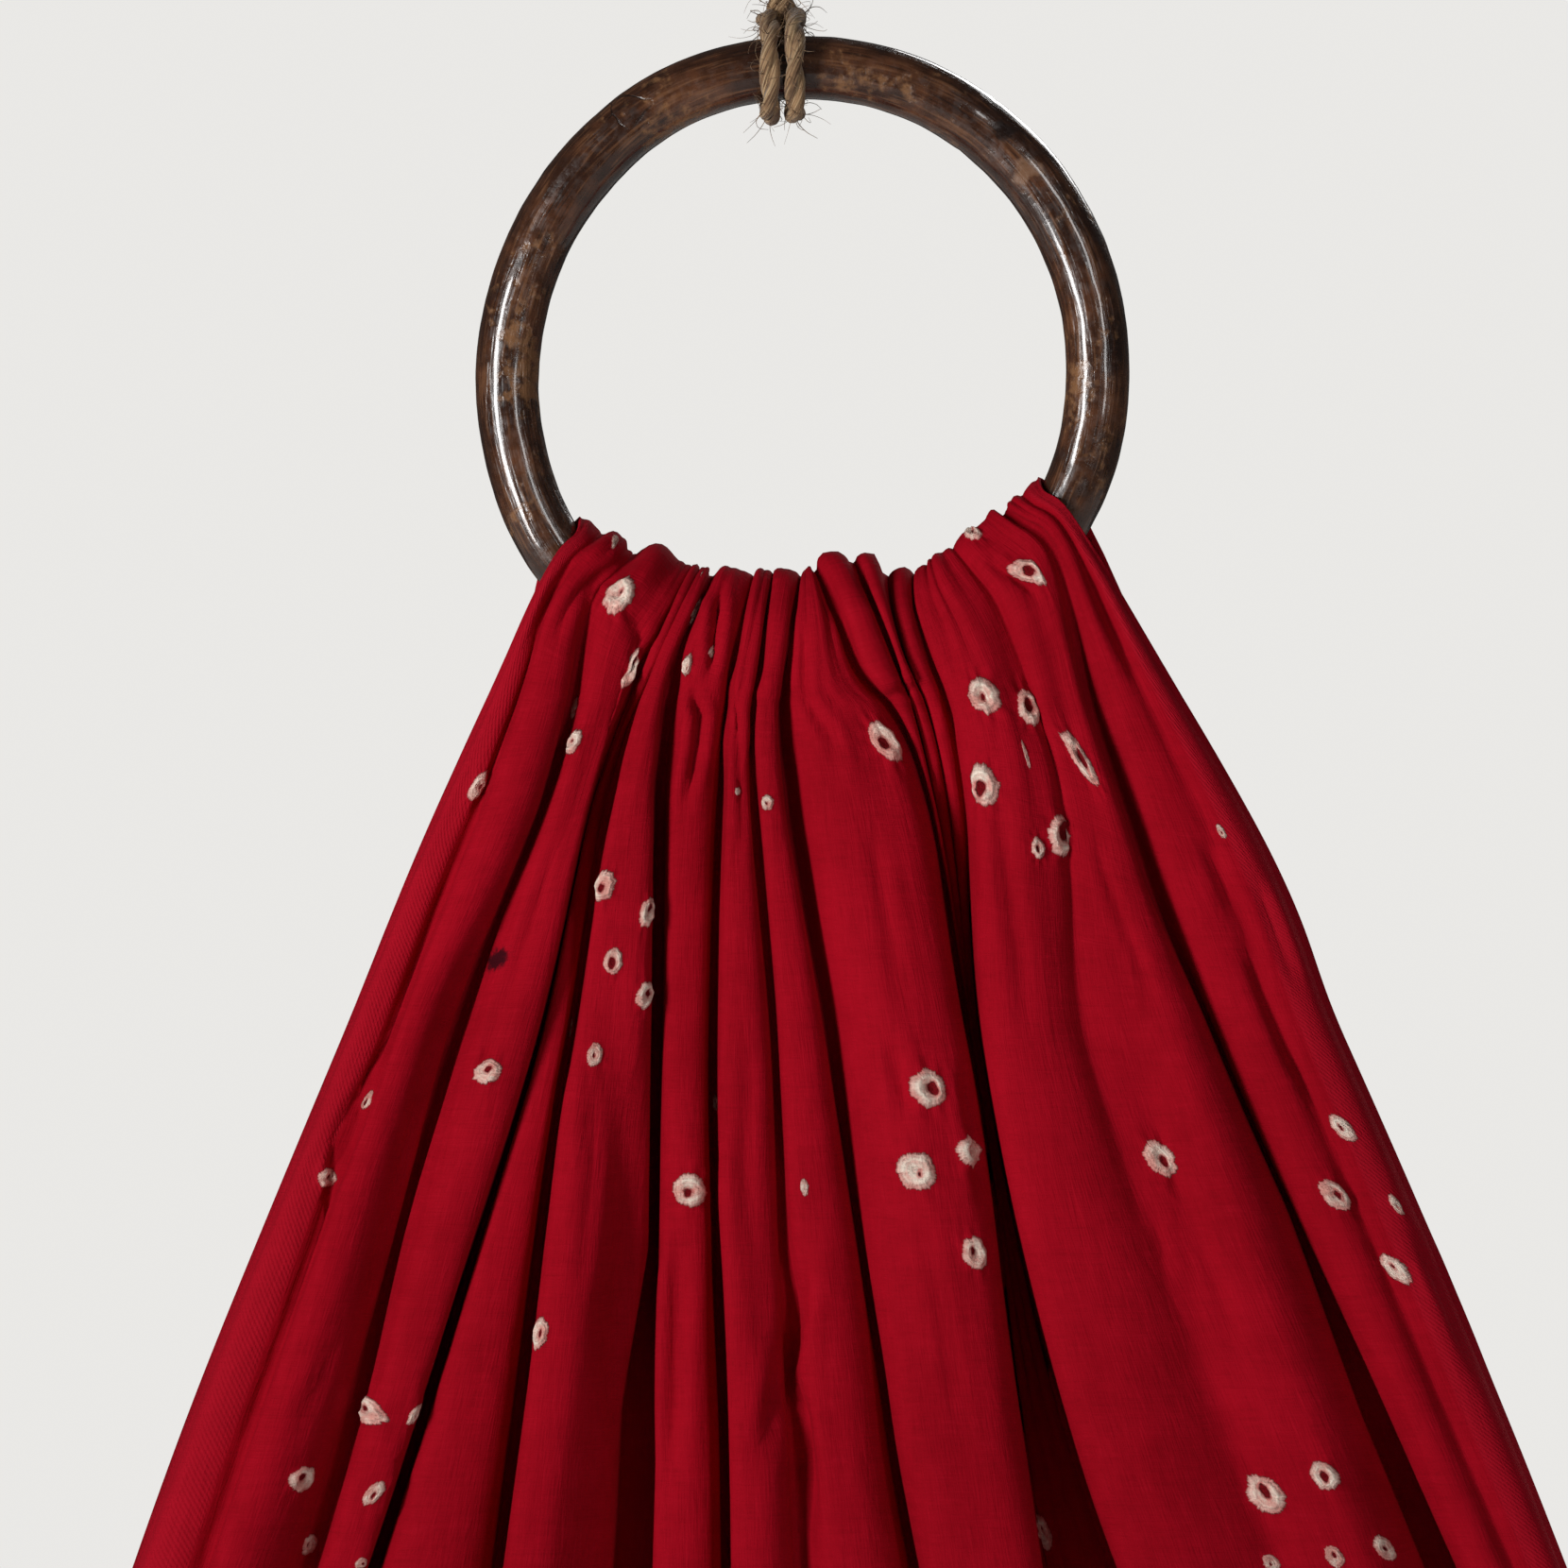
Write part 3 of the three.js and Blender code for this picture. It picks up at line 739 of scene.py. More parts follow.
# smooth random hills over the flat cloth, from -1 to 1
def softNoise(across, along, hillAcross, hillAlong, seed):
    lattice = np.random.default_rng(seed).uniform(-1, 1, (61, 61))
    u = across / hillAcross + 500
    v = along / hillAlong + 500
    i, j = np.floor(u).astype(int), np.floor(v).astype(int)
    u, v = u - i, v - j
    u, v = u * u * (3 - 2 * u), v * v * (3 - 2 * v)
    near = lattice[i % 61, j % 61] * (1 - v) + lattice[i % 61, (j + 1) % 61] * v
    far = lattice[(i + 1) % 61, j % 61] * (1 - v) + lattice[(i + 1) % 61, (j + 1) % 61] * v
    return near * (1 - u) + far * u


def smoothStep(value, low, high):
    share = np.clip((value - low) / (high - low), 0, 1)
    return share * share * (3 - 2 * share)


# length of cloth gone at each station: front levels 3 to 0, five turns over the tube, back levels 0 to 3
stations = (
    (0, "front", 3), (66, "front", 2), (124, "front", 1), (175, "front", 0),
    (188, "over", 90), (194, "over", 45), (200, "over", 0), (206, "over", -45), (212, "over", -90),
    (225, "back", 0), (276, "back", 1), (334, "back", 2), (388, "back", 3),
)


def mix(one, two, share):
    return one + (two - one) * share


def atLevel(values, level):
    levels = cloth["levels"]
    share = (levels[level] - levels[0]) / (levels[3] - levels[0])
    neck, middle, foot = values
    return mix(mix(neck, middle, 2 * share), mix(middle, foot, 2 * share - 1), share)


def outOfTube(turn, over):
    turn, over = math.radians(turn), math.radians(over)
    return np.array((-math.sin(turn) * math.cos(over), -math.sin(over), math.cos(turn) * math.cos(over)))


def onTube(turn, over, height):
    heart = np.array((math.sin(math.radians(turn)), 0, -math.cos(math.radians(turn)))) * ringReach(180 - turn)
    return heart + outOfTube(turn, over) * (ringLook["tube"] + height)


# a rib is a valley or a crest, and this is where it passes each station
def ribThrough(rib):
    points = []
    outs = []
    for run, part, value in stations:
        if part == "over":
            height = mix(rib["height"], rib["sideHeight"], math.sin(math.radians(abs(value))))
            turn = rib["turn"] + rib["lean"] * max(0, math.sin(math.radians(value)))
            points.append(onTube(turn, value, height))
            outs.append(outOfTube(turn, value))
            continue
        proud = atLevel(rib["proud"], value)
        sway = cloth["sway"] * math.sin(rib["number"] * 0.4 + value * 1.9)
        down = -cloth["levels"][value]
        if part == "front":
            points.append(np.array((rib["x"][value], -proud, down + (sway if value > 2 else 0))))
            outs.append(np.array((0, -1, 0)))
        else:
            points.append(np.array((
                rib["x"][value] * cloth["backNarrowing"] + cloth["backShift"] + sway,
                cloth["backSetOff"][value] + cloth["backDepth"] * proud,
                down + cloth["backRaise"][value],
            )))
            outs.append(np.array((0, 1, 0)))
    return np.array(points, dtype=float), np.array(outs, dtype=float)


def clothRibs():
    ends = [*cloth["folds"], cloth["lastEdge"]]
    ribs = []
    lean = cloth["lean"]
    for number, (fold, after) in enumerate(zip(cloth["folds"], ends[1:])):
        turn, x, hollow, peak, proud, seat, rise = fold
        ribs.append({
            "turn": turn, "x": x, "proud": hollow, "height": seat, "sideHeight": cloth["lowestSeat"],
            "lean": lean.get(number, 0),
        })
        ribs.append({
            "turn": mix(turn, after[0], peak[0]),
            "x": [mix(x[k], after[1][k], mix(peak[0], peak[1], k / 3)) for k in range(4)],
            "proud": proud,
            "height": rise,
            "sideHeight": cloth["lowestSeat"] + cloth["sideShare"] * rise,
            "lean": mix(lean.get(number, 0), lean.get(number + 1, 0), peak[0]),
        })
    turn, x, hollow, seat = cloth["lastEdge"]
    ribs.append({
        "turn": turn, "x": x, "proud": hollow, "height": seat, "sideHeight": cloth["lowestSeat"],
        "lean": lean.get(len(cloth["folds"]), 0),
    })
    for before, valley, after in zip(ribs[1:], ribs[2:-1], ribs[3:]):
        lower = min(before["height"], after["height"])
        if valley["height"] < lower:
            valley["height"] = mix(valley["height"], lower, cloth["crownFill"])
    for number, rib in enumerate(ribs):
        rib["number"] = number
        rib["points"], rib["outs"] = ribThrough(rib)
    return ribs


# a smooth line through the stations' points, read at many runs at once
def readAlong(points, runs):
    at = np.array([station[0] for station in stations], dtype=float)
    spans = np.diff(at)
    slopes = np.diff(points, axis=0) / spans[:, None]
    before = (spans[1:] / (spans[:-1] + spans[1:]))[:, None]
    tangents = np.vstack([slopes[:1], slopes[:-1] * before + slopes[1:] * (1 - before), slopes[-1:]])
    k = np.clip(np.searchsorted(at, runs, side="right") - 1, 0, len(spans) - 1)
    t = ((runs - at[k]) / spans[k])[:, None]
    span = spans[k][:, None]
    return (points[k] * (1 + t * t * (2 * t - 3)) + tangents[k] * span * t * (1 - t) ** 2
            + points[k + 1] * t * t * (3 - 2 * t) + tangents[k + 1] * span * t * t * (t - 1))


# half a fold from its valley to its crest: a tight bend, a flank and a round crest
def halfFold(share, width, height, square):
    tall = np.abs(height)
    tight = np.minimum(cloth["valleyBend"], 0.4 * width)
    tight = np.maximum(tight, cloth["openBend"] * width * np.clip((1.1 - square) / 0.4, 0, 1))
    swing = np.clip(2 * np.arctan2(tall, width), 0.02, math.pi / 2)
    around = width / np.sin(swing) - tight
    bend = tight * swing
    flank = np.maximum(0, tall - width)
    length = bend + flank + around * swing
    gone = share * length
    across = width - around * np.sin((length - gone) / around)
    out = tall - around * (1 - np.cos((length - gone) / around))
    inBend = gone <= bend
    inFlank = (gone > bend) & (gone < bend + flank)
    across = np.where(inBend, tight * np.sin(gone / tight), np.where(inFlank, tight, across))
    out = np.where(inBend, tight * (1 - np.cos(gone / tight)), np.where(inFlank, tight + gone - bend, out))
    left = np.clip(1 - out / np.maximum(tall, 0.01), 0, 1)
    out = tall * (1 - left ** square)
    return across, out * np.sign(height), length


def clothRows():
    spans = cloth["rowSpans"]
    rows = [np.linspace(low, high, count, endpoint=False) for low, high, count in spans]
    return np.append(np.concatenate(rows), cloth["length"])


# the grid of the cloth's middle: points[row, column], and the flat place of each column
def clothGrid():
    ribs = clothRibs()
    runs = clothRows()
    columns = []
    flatAcross = [0.0]
    valleyness = []
    for i, (left, right) in enumerate(zip(ribs, ribs[1:])):
        rising = i % 2 == 0
        valley, crest = (left, right) if rising else (right, left)
        foot = readAlong(valley["points"], runs)
        step = readAlong(crest["points"], runs) - foot
        footOut = readAlong(valley["outs"], runs)
        footOut /= np.linalg.norm(footOut, axis=1)[:, None]
        out = readAlong(crest["outs"], runs) + footOut
        out /= np.linalg.norm(out, axis=1)[:, None]
        height = np.sum(step * out, axis=1)
        across = step - out * height[:, None]
        width = np.linalg.norm(across, axis=1)
        atNeck, atFoot = cloth["squareRight"][i // 2]
        fromEnd = np.minimum(runs, cloth["length"] + 10 - runs)
        square = mix(atFoot, atNeck, smoothStep(fromEnd, *cloth["crestsChange"]))
        if rising:
            square = np.full_like(width, cloth["roundLeft"].get(i // 2, cloth["squareLeft"]))
        lengths = halfFold(np.ones_like(width), width, height, square)[2]
        flatWidth = float(np.mean(lengths[runs < cloth["widthTo"]]))
        count = max(4, round(flatWidth / cloth["columnWidth"]))
        for k in range(count + (1 if i == len(ribs) - 2 else 0)):
            share = k / count if rising else 1 - k / count
            over, raised, length = halfFold(np.full_like(width, share), width, height, square)
            columns.append(foot + across * (over / width)[:, None] + out * raised[:, None])
            valleyness.append(max(0, 1 - share * flatWidth / 2.5))
            flatAcross.append(flatAcross[-1] + flatWidth / count)
    points = np.stack(columns, axis=1)
    flat = np.array(flatAcross[:points.shape[1]])
    return points, runs, flat - flat[-1] / 2, np.array(valleyness)


def gridNormals(points):
    lengthwise = np.gradient(points, axis=0)
    crosswise = np.gradient(points, axis=1)
    normals = np.cross(crosswise, lengthwise)
    return normals / np.maximum(1e-9, np.linalg.norm(normals, axis=2))[:, :, None]


# creases pressed in where the photograph shows them: depth, half width and the line that each follows
creases = (
    (0.9, 0.8, ((-31.4, -27.6), (-35.3, -31.2), (-38.2, -34.8), (-40.3, -39.2), (-43.5, -47))),
    (0.9, 0.8, ((-28.5, -29.8), (-30.2, -31.6), (-33.8, -34.8), (-36, -37.7), (-39, -45))),
    (0.8, 1.0, ((-27.3, -37), (-25.6, -39.2), (-24.7, -42.8), (-26, -48))),
    (1.8, 0.75, ((-12.6, -32.4), (-12.9, -37), (-13.3, -40.6), (-13.6, -45), (-14.6, -50))),
    (1.9, 0.75, ((-17.6, -48.3), (-16.6, -51.2), (-15.6, -54), (-16, -58.7), (-17.2, -64.5), (-18.4, -70.2))),
    (0.9, 0.7, ((-11.4, -46), (-10.4, -53), (-9.4, -62), (-9, -71), (-9.6, -80))),
    (1.0, 0.8, ((0.1, -37), (0.2, -45.7), (0.3, -50.7), (2, -53.6), (4.6, -57.4), (5.8, -65))),
    (1.1, 0.8, ((28, -28.3), (29.8, -31.2), (34, -33.8), (36.5, -37))),
    (0.9, 0.9, ((41.3, -29.8), (43.5, -32), (45.7, -37), (48, -42), (52, -50))),
    (0.9, 0.7, ((-50.4, -68.8), (-56.2, -83.2), (-63.4, -103.5), (-71.4, -117.9), (-72.8, -130.9),
                (-86, -168))),
    (0.7, 1.4, ((-59, -125), (-63.4, -139.6), (-66, -155), (-69.2, -168.5))),
    (1.0, 0.7, ((-37.4, -70.2), (-39.6, -80.3), (-44.7, -96.2), (-48.3, -106.4), (-51.5, -118))),
    (2, 1.4, ((0.4, -130.9), (0.1, -139.6), (-1.3, -149.7), (-3.5, -158.4), (-7.8, -172.8))),
    (1.8, 1.1, ((-0.6, -153), (0.6, -165), (2.3, -181.5))),
    (2.2, 1.2, ((-18.4, -129), (-19.2, -146.8), (-19.8, -161.3), (-20.7, -178))),
    (0.8, 1.1, ((-29.5, -150), (-27.5, -162), (-28.6, -176))),
    (1.3, 0.8, ((66.6, -86.1), (70.2, -96.2), (73.8, -104.9), (78.2, -113.6), (80.4, -118))),
    (1.0, 0.8, ((68.8, -77.5), (73.8, -90.5), (77, -98))),
    (0.8, 1.0, ((61, -72), (64.5, -80), (67, -87))),
    (0.7, 1.3, ((29, -60), (31, -75), (33.5, -92), (35, -108))),
    (0.7, 1.2, ((51, -108), (56, -122), (63, -140), (70, -160))),
    (0.6, 1.0, ((10, -66), (12, -80), (15, -97), (18, -108))),
    (0.8, 0.9, ((17, -126), (20, -138), (22.5, -152), (26, -170))),
    (0.7, 0.9, ((-33, -107), (-32, -122), (-33.5, -136), (-36, -150))),
    (0.8, 0.8, ((92, -131), (97, -140), (101, -150), (104, -158))),
    (0.9, 0.8, ((84, -146), (90, -158), (96, -172), (101, -184))),
    (0.7, 0.8, ((-8.4, -100), (-8, -112), (-9, -124), (-8.2, -135))),
    (0.8, 0.8, ((-72, -150), (-76, -160), (-79, -168))),
    (0.7, 0.8, ((12.7, -52), (15, -50), (19, -49.5))),
    (0.7, 0.7, ((44, -70), (47, -80), (52, -92), (55, -104))),
    (2.6, 4.2, ((-27.5, -96), (-26.5, -112), (-26, -130), (-27.5, -150), (-29, -170))),
    (1.6, 3.6, ((-43.5, -74), (-48.5, -89), (-55, -106), (-60, -124), (-65, -142), (-70, -168))),
    (1.2, 3.4, ((5.5, -80), (7.5, -100), (11, -122), (15, -145), (18, -165))),
    (1.5, 4.5, ((47, -96), (53, -115), (61, -138), (69, -160))),
    (1.2, 2.6, ((-9.5, -112), (-7.5, -128), (-5, -150), (-4.5, -170))),
    (1.3, 1.1, ((13, -102), (14.5, -107), (15.5, -113), (14.5, -119))),
    (1.2, 0.9, ((24, -106), (25.2, -112), (27.5, -128), (25.6, -132))),
    (0.8, 0.8, ((55.8, -124), (57.6, -133), (60, -142), (61.5, -150))),
    (0.7, 0.8, ((54.4, -125), (54.8, -134), (56.4, -141))),
    (0.7, 0.9, ((-59, -152), (-56.8, -158), (-56.4, -166))),
    (0.8, 0.8, ((-63.5, -164), (-61, -170), (-60.5, -178))),
)


# how far each place in the picture lies from a crease's line, and how faded the crease is there
def creaseAt(x, z, line):
    line = np.array(line, dtype=float)
    lengths = np.linalg.norm(np.diff(line, axis=0), axis=1)
    gone = np.concatenate([[0], np.cumsum(lengths)])
    nearest = np.full(x.shape, 99.0)
    place = np.zeros(x.shape)
    for k, (start, end) in enumerate(zip(line, line[1:])):
        along = end - start
        share = np.clip(((x - start[0]) * along[0] + (z - start[1]) * along[1]) / along.dot(along), 0, 1)
        away = np.hypot(x - start[0] - share * along[0], z - start[1] - share * along[1])
        closer = away < nearest
        nearest = np.where(closer, away, nearest)
        place = np.where(closer, (gone[k] + share * lengths[k]) / gone[-1], place)
    return nearest, smoothStep(place, 0, 0.3) * (1 - smoothStep(place, 0.6, 1))


def inPicture(points):
    closer = shot["distance"] / (shot["distance"] + points[..., 1])
    across, high = shot["centre"]
    return across + (points[..., 0] - across) * closer, high + (points[..., 2] - high) * closer


# soft hills over the cloth: height, size across, size along and seed
relief = {
    "drift": (5, 60, 45, 8),
    "broad": (0.6, 9, 60, 3),
    "fine": (0.16, 4.5, 30, 4),
    "crumple": (0.36, 4.2, 15, 5),
    "smallCrumple": (0.22, 7, 7, 6),
    "crumplesStart": (138, 176),
    "crumplesEnd": (222, 250),
    "valleyCalm": 0.75,  # how much flatter the hills are in a valley
    "creasesEnd": 196,
    "creaseLip": 0.3,
    "creaseLipAt": 2.1,
}


def hills(name, across, along):
    height, *size = relief[name]
    return height * softNoise(across, along, *size)


# hills, crumples at the neck and the creases, all along the cloth's own normals
def addRelief(points, runs, flat, valleyness):
    across = np.broadcast_to(flat[None, :], points.shape[:2])
    along = np.broadcast_to(runs[:, None], points.shape[:2])
    calm = 1 - relief["valleyCalm"] * valleyness[None, :]
    drift = hills("drift", across, along)
    swell = hills("broad", across + drift, along) + hills("fine", across + drift, along)
    neck = smoothStep(along, *relief["crumplesStart"]) * (1 - smoothStep(along, *relief["crumplesEnd"]))
    crumple = hills("crumple", across + drift * 0.5, along) + hills("smallCrumple", across, along)
    normals = gridNormals(points)
    points = points + normals * ((swell + neck * crumple) * calm)[:, :, None]
    normals = gridNormals(points)
    x, z = inPicture(points)
    facing = smoothStep(-normals[:, :, 1], 0.1, 0.45) * (along < relief["creasesEnd"])
    pressed = np.zeros(points.shape[:2])
    for depth, half, line in creases:
        away, strength = creaseAt(x, z, line)
        lip = np.exp(-(((away - relief["creaseLipAt"] * half) / half) ** 2))
        trough = relief["creaseLip"] * lip - np.exp(-((away / half) ** 2))
        pressed += depth * trough * strength
    return points + normals * (pressed * facing)[:, :, None]


# the tied dots that show: place in the picture, width, height, turn in degrees and how open the hole is
tiedDots = (
    (-28.8, -27.6, 2.6, 1.6, -20, 0), (-28, -35.5, 3, 4.6, -25, 0.1), (-15.3, -32.5, 1.2, 0.8, 0, 0),
    (-16.5, -38.4, 3.6, 3.6, 0, 0.15), (-13.9, -44.2, 1.5, 1.7, 0, 0), (-17.4, -46.4, 2.2, 3.2, 0, 0.2),
    (-26.3, -46.7, 3.6, 6.2, -35, 0.5), (-34.5, -52.9, 1.3, 2.8, -25, 0), (-34.8, -58.1, 1.7, 3.6, -25, 0),
    (-49.6, -64.7, 2.2, 3.6, -25, 0), (-30.3, -80.1, 3.2, 4.4, 0, 0.25), (-23.8, -84.1, 2.9, 4.1, 20, 0.35),
    (-28.8, -91.6, 2.9, 3.7, -10, 0.6), (-24.1, -96.7, 2.9, 3.8, 10, 0.4), (-31.8, -105.9, 2.4, 3.5, 0, 0.1),
    (-35.3, -101.7, 0.6, 3.2, 10, 0), (-48.1, -108.5, 3.9, 3.6, -15, 0.3), (-66.3, -112.9, 1.3, 3, -20, 0.4),
    (-72.8, -124.7, 2.1, 2.7, -15, 0.5), (-17.3, -126.6, 4.9, 4.9, 0, 0.3), (-13.3, -113.2, 1.2, 2.4, 0, 0),
    (0.4, -126.2, 1.2, 2.6, 0, 0), (-40, -148.6, 2.3, 4.7, 0, 0.1), (-66.3, -160.4, 4.4, 3.8, -15, 0.45),
    (-59.4, -160.8, 0.9, 3.2, -20, 0), (-76.6, -170.8, 3.8, 3.8, -20, 0.35),
    (-65.6, -173, 2.4, 3.9, -25, 0.4),
    (-75.7, -180.8, 2.7, 3.2, 0, 0.3), (-67.6, -183.7, 1.7, 1.7, 0, 0), (-5.3, -67.3, 1.8, 2.4, 0, 0.1),
    (-10, -65.6, 0.9, 1.2, 0, 0), (12.7, -57.9, 5.2, 5.8, -20, 0.25), (26.2, -26.2, 2.2, 3, -25, 0.1),
    (34.9, -31.8, 4, 2.8, -30, 0.6), (27.7, -51, 5.3, 5.5, 0, 0.15), (34.5, -52.9, 3.4, 4.4, 10, 0.5),
    (34.2, -60.1, 0.6, 4, 10, 0), (42.6, -60.6, 4.6, 3.8, -30, 0.75), (27.7, -64.5, 4.9, 6.1, 5, 0.65),
    (39.6, -72.5, 3.8, 6, 22, 0.95), (36, -74.3, 2, 3.3, 15, 0.6), (19.5, -111.1, 5.2, 5.5, 0, 0.45),
    (25.4, -120.8, 3.2, 5, 12, 0.5), (17.5, -123.6, 5.8, 5.4, -15, 0.3), (26.4, -136.3, 3.8, 4.7, 0, 0.25),
    (54.8, -121.8, 4.7, 5.5, 0, 0.6), (82.9, -117.2, 2.5, 4.4, 20, 0.4), (81.6, -127.5, 3.7, 5, 20, 0.3),
    (90.8, -128.9, 1.4, 3.3, 15, 0), (90.8, -138.7, 3, 4.6, 30, 0.15), (64.2, -71.7, 1.2, 1.8, 0, 0),
    (71.2, -173.1, 5.2, 5.6, 10, 0.5), (79.9, -170.4, 3.5, 4.4, 0, 0.6), (89, -181.5, 2.6, 3.8, 15, 0.3),
    (81.5, -182.7, 2.6, 3.2, 0, 0.2), (71.7, -183.7, 2.3, 2.3, 0, 0.2), (36.8, -178.9, 2.4, 5.5, 10, 0.2),
)
# one dark smudge of dye on the left
stain = {"place": (-46.5, -91.4), "across": 4.4, "along": 2.7}
# the dots on the back fall: flowers of seven with a single dot between two of them
flower = {
    "reach": 9.5,
    "dot": 4.7,
    "across": 62,
    "along": 54,
    "rows": 4,
    "eachSide": 3,
    "firstRun": 232,
    "noneBefore": 218,
    "margin": 8,
}
# how the cloth stands up round a dot: heights in millimetres or as shares of the dot's size, and places
# as shares of its radius
pucker = {
    # how far past the dot the mesh is finer, in millimetres and then as a share of that
    "finer": 0.9,
    "finerReach": 1.25,
    "wallShare": 0.3,
    "wallMost": 0.7,
    "wallAt": 0.62,
    "wallWidth": 0.3,
    "lobes": 5,
    "lobeShare": 0.16,
    "pleatShare": 0.06,
    "pleatMost": 0.14,
    "pleatAt": 1.25,
    "pleatWidth": 0.5,
    "pleats": 8,
    "reach": 2.6,
}


# where a place in the picture falls on the cloth's grid
def gridPlaces(points, runs, places):
    rows = int(np.searchsorted(runs, cloth["lastSeen"]))
    wide = points.shape[1]
    corners = [Vector(corner) for corner in points[:rows].reshape(-1, 3)]
    faces = [(r * wide + c, r * wide + c + 1, (r + 1) * wide + c + 1, (r + 1) * wide + c)
             for r in range(rows - 1) for c in range(wide - 1)]
    tree = BVHTree.FromPolygons(corners, faces)
    across, high = shot["centre"]
    eye = Vector((across, -shot["distance"], high))
    found = []
    for x, z in places:
        hit, normal, index, away = tree.ray_cast(eye, (Vector((x, 0, z)) - eye).normalized())
        if hit is None:
            found.append(None)
            continue
        a, b, _, d = [np.array(corners[k]) for k in faces[index]]
        sides = np.stack([b - a, d - a], axis=1)
        share = np.linalg.lstsq(sides, np.array(hit) - a, rcond=None)[0]
        r, c = divmod(faces[index][0], wide)
        found.append((r + float(np.clip(share[1], 0, 1)), c + float(np.clip(share[0], 0, 1))))
    return found


# a place on the grid as one on the flat cloth, across and along
def onFlat(rows, columns, runs, flat):
    return np.interp(columns, range(len(flat)), flat), np.interp(rows, range(len(runs)), runs)


# the dots that show, moved from the picture to the flat cloth
def shownDots(points, runs, flat):
    high, wide = points.shape[:2]
    dots = []
    places = gridPlaces(points, runs, [dot[:2] for dot in tiedDots])
    for (x, z, width, tall, turn, opening), place in zip(tiedDots, places):
        if place is None:
            print("no cloth under the dot at", x, z)
            continue
        r, c = place
        row, column = min(int(r), high - 2), min(int(c), wide - 2)
        crosswise = (points[row, column + 1] - points[row, column]) / (flat[column + 1] - flat[column])
        lengthwise = (points[row + 1, column] - points[row, column]) / (runs[row + 1] - runs[row])
        halfAcross = width / 2 / np.clip(abs(crosswise[0]), 0.5, 1)
        halfAlong = tall / 2 / np.clip(abs(lengthwise[2]), 0.75, 1)
        dots.append((*onFlat(r, c, runs, flat), halfAcross, halfAlong, turn, opening, len(dots)))
    return dots


# six dots round a seventh, and a single one on the way to the next flower
def flowerSpots(draw, row, column):
    across = (column + 0.5 * (row % 2)) * flower["across"] + draw.uniform(-3, 3)
    along = flower["firstRun"] + row * flower["along"] + draw.uniform(-2, 2)
    turn = draw.uniform(-0.3, 0.3)
    angles = [turn + k * math.pi / 3 for k in range(6)]
    spots = [(across + flower["reach"] * math.cos(angle), along + flower["reach"] * math.sin(angle))
             for angle in angles]
    return [*spots, (across, along), (across + flower["across"] / 2, along + draw.uniform(-4, 4))]


def backDots(edge, firstNumber):
    draw = random.Random(5)
    dots = []
    for row in range(flower["rows"]):
        for column in range(-flower["eachSide"], flower["eachSide"] + 1):
            for across, along in flowerSpots(draw, row, column):
                within = flower["noneBefore"] < along < cloth["length"] - flower["margin"]
                if abs(across) > edge or not within:
                    continue
                size = flower["dot"] * draw.uniform(0.42, 0.56)
                dots.append((across + draw.uniform(-0.6, 0.6), along + draw.uniform(-0.6, 0.6), size,
                             size * draw.uniform(0.85, 1.15), draw.uniform(-40, 40), draw.uniform(0.1, 0.7),
                             firstNumber + len(dots)))
    return dots


# every dot on the flat cloth: middle, half sizes, turn, opening and a number of its own
def flatDots(points, runs, flat):
    shown = shownDots(points, runs, flat)
    back = backDots(flat[-1] - flower["margin"], len(shown))
    return np.array(shown + back), len(shown)


# places on the flat cloth, seen from a dot: 1 is the dot's edge
def fromDot(across, along, dot):
    turn = np.radians(dot[..., 4])
    x, y = across - dot[..., 0], along - dot[..., 1]
    return ((x * np.cos(turn) + y * np.sin(turn)) / dot[..., 2],
            (-x * np.sin(turn) + y * np.cos(turn)) / dot[..., 3])


# a value between the grid's rows and columns, smooth through the grid's own values
def readGrid(grid, r, c):
    def weights(t):
        return np.stack([
            ((-t + 2) * t - 1) * t / 2, ((3 * t - 5) * t * t + 2) / 2,
            ((-3 * t + 4) * t + 1) * t / 2, (t - 1) * t * t / 2,
        ])

    row = np.clip(np.floor(r).astype(int), 0, grid.shape[0] - 2)
    column = np.clip(np.floor(c).astype(int), 0, grid.shape[1] - 2)
    overRows, overColumns = weights(r - row), weights(c - column)
    total = 0
    for i in range(4):
        for j in range(4):
            nearRow = np.clip(row + i - 1, 0, grid.shape[0] - 1)
            nearColumn = np.clip(column + j - 1, 0, grid.shape[1] - 1)
            one = grid[nearRow, nearColumn]
            total = total + one * (overRows[i] * overColumns[j])[:, None]
    return total


# the tied cloth stands up round each dot's hole and pulls small pleats out of the cloth beside it
def puckerAt(x, y, dot):
    away = np.hypot(x, y)
    angle = np.arctan2(y, x)
    size = np.minimum(dot[..., 2], dot[..., 3])
    number = dot[..., 6]
    wall = np.exp(-(((away - pucker["wallAt"]) / pucker["wallWidth"]) ** 2))
    wall = wall * (1 + pucker["lobeShare"] * np.cos(pucker["lobes"] * angle + number))
    pleats = np.exp(-(((away - pucker["pleatAt"]) / pucker["pleatWidth"]) ** 2))
    pleats = np.cos(pucker["pleats"] * angle + 2.4 * number) * pleats
    wallHeight = np.minimum(pucker["wallShare"] * size, pucker["wallMost"])
    return wallHeight * wall + np.minimum(pucker["pleatShare"] * size, pucker["pleatMost"]) * pleats


# the cotton's thickness, half of it on each side, and more where the hems are folded
def thicken(sheet, runOf):
    hem = sheet.vertex_groups.new(name="hem")
    inHem = (runOf < cloth["hemDeep"]) | (runOf > cloth["length"] - cloth["hemDeep"])
    for chosen, weight in ((inHem, 1.0), (~inHem, cloth["thick"] / cloth["hemThick"])):
        hem.add([int(k) for k in np.flatnonzero(chosen)], weight, "REPLACE")
    thick = sheet.modifiers.new("thick", "SOLIDIFY")
    thick.thickness = cloth["hemThick"] * mm
    thick.offset = 0
    thick.vertex_group = "hem"
    bpy.ops.object.modifier_apply(modifier="thick")


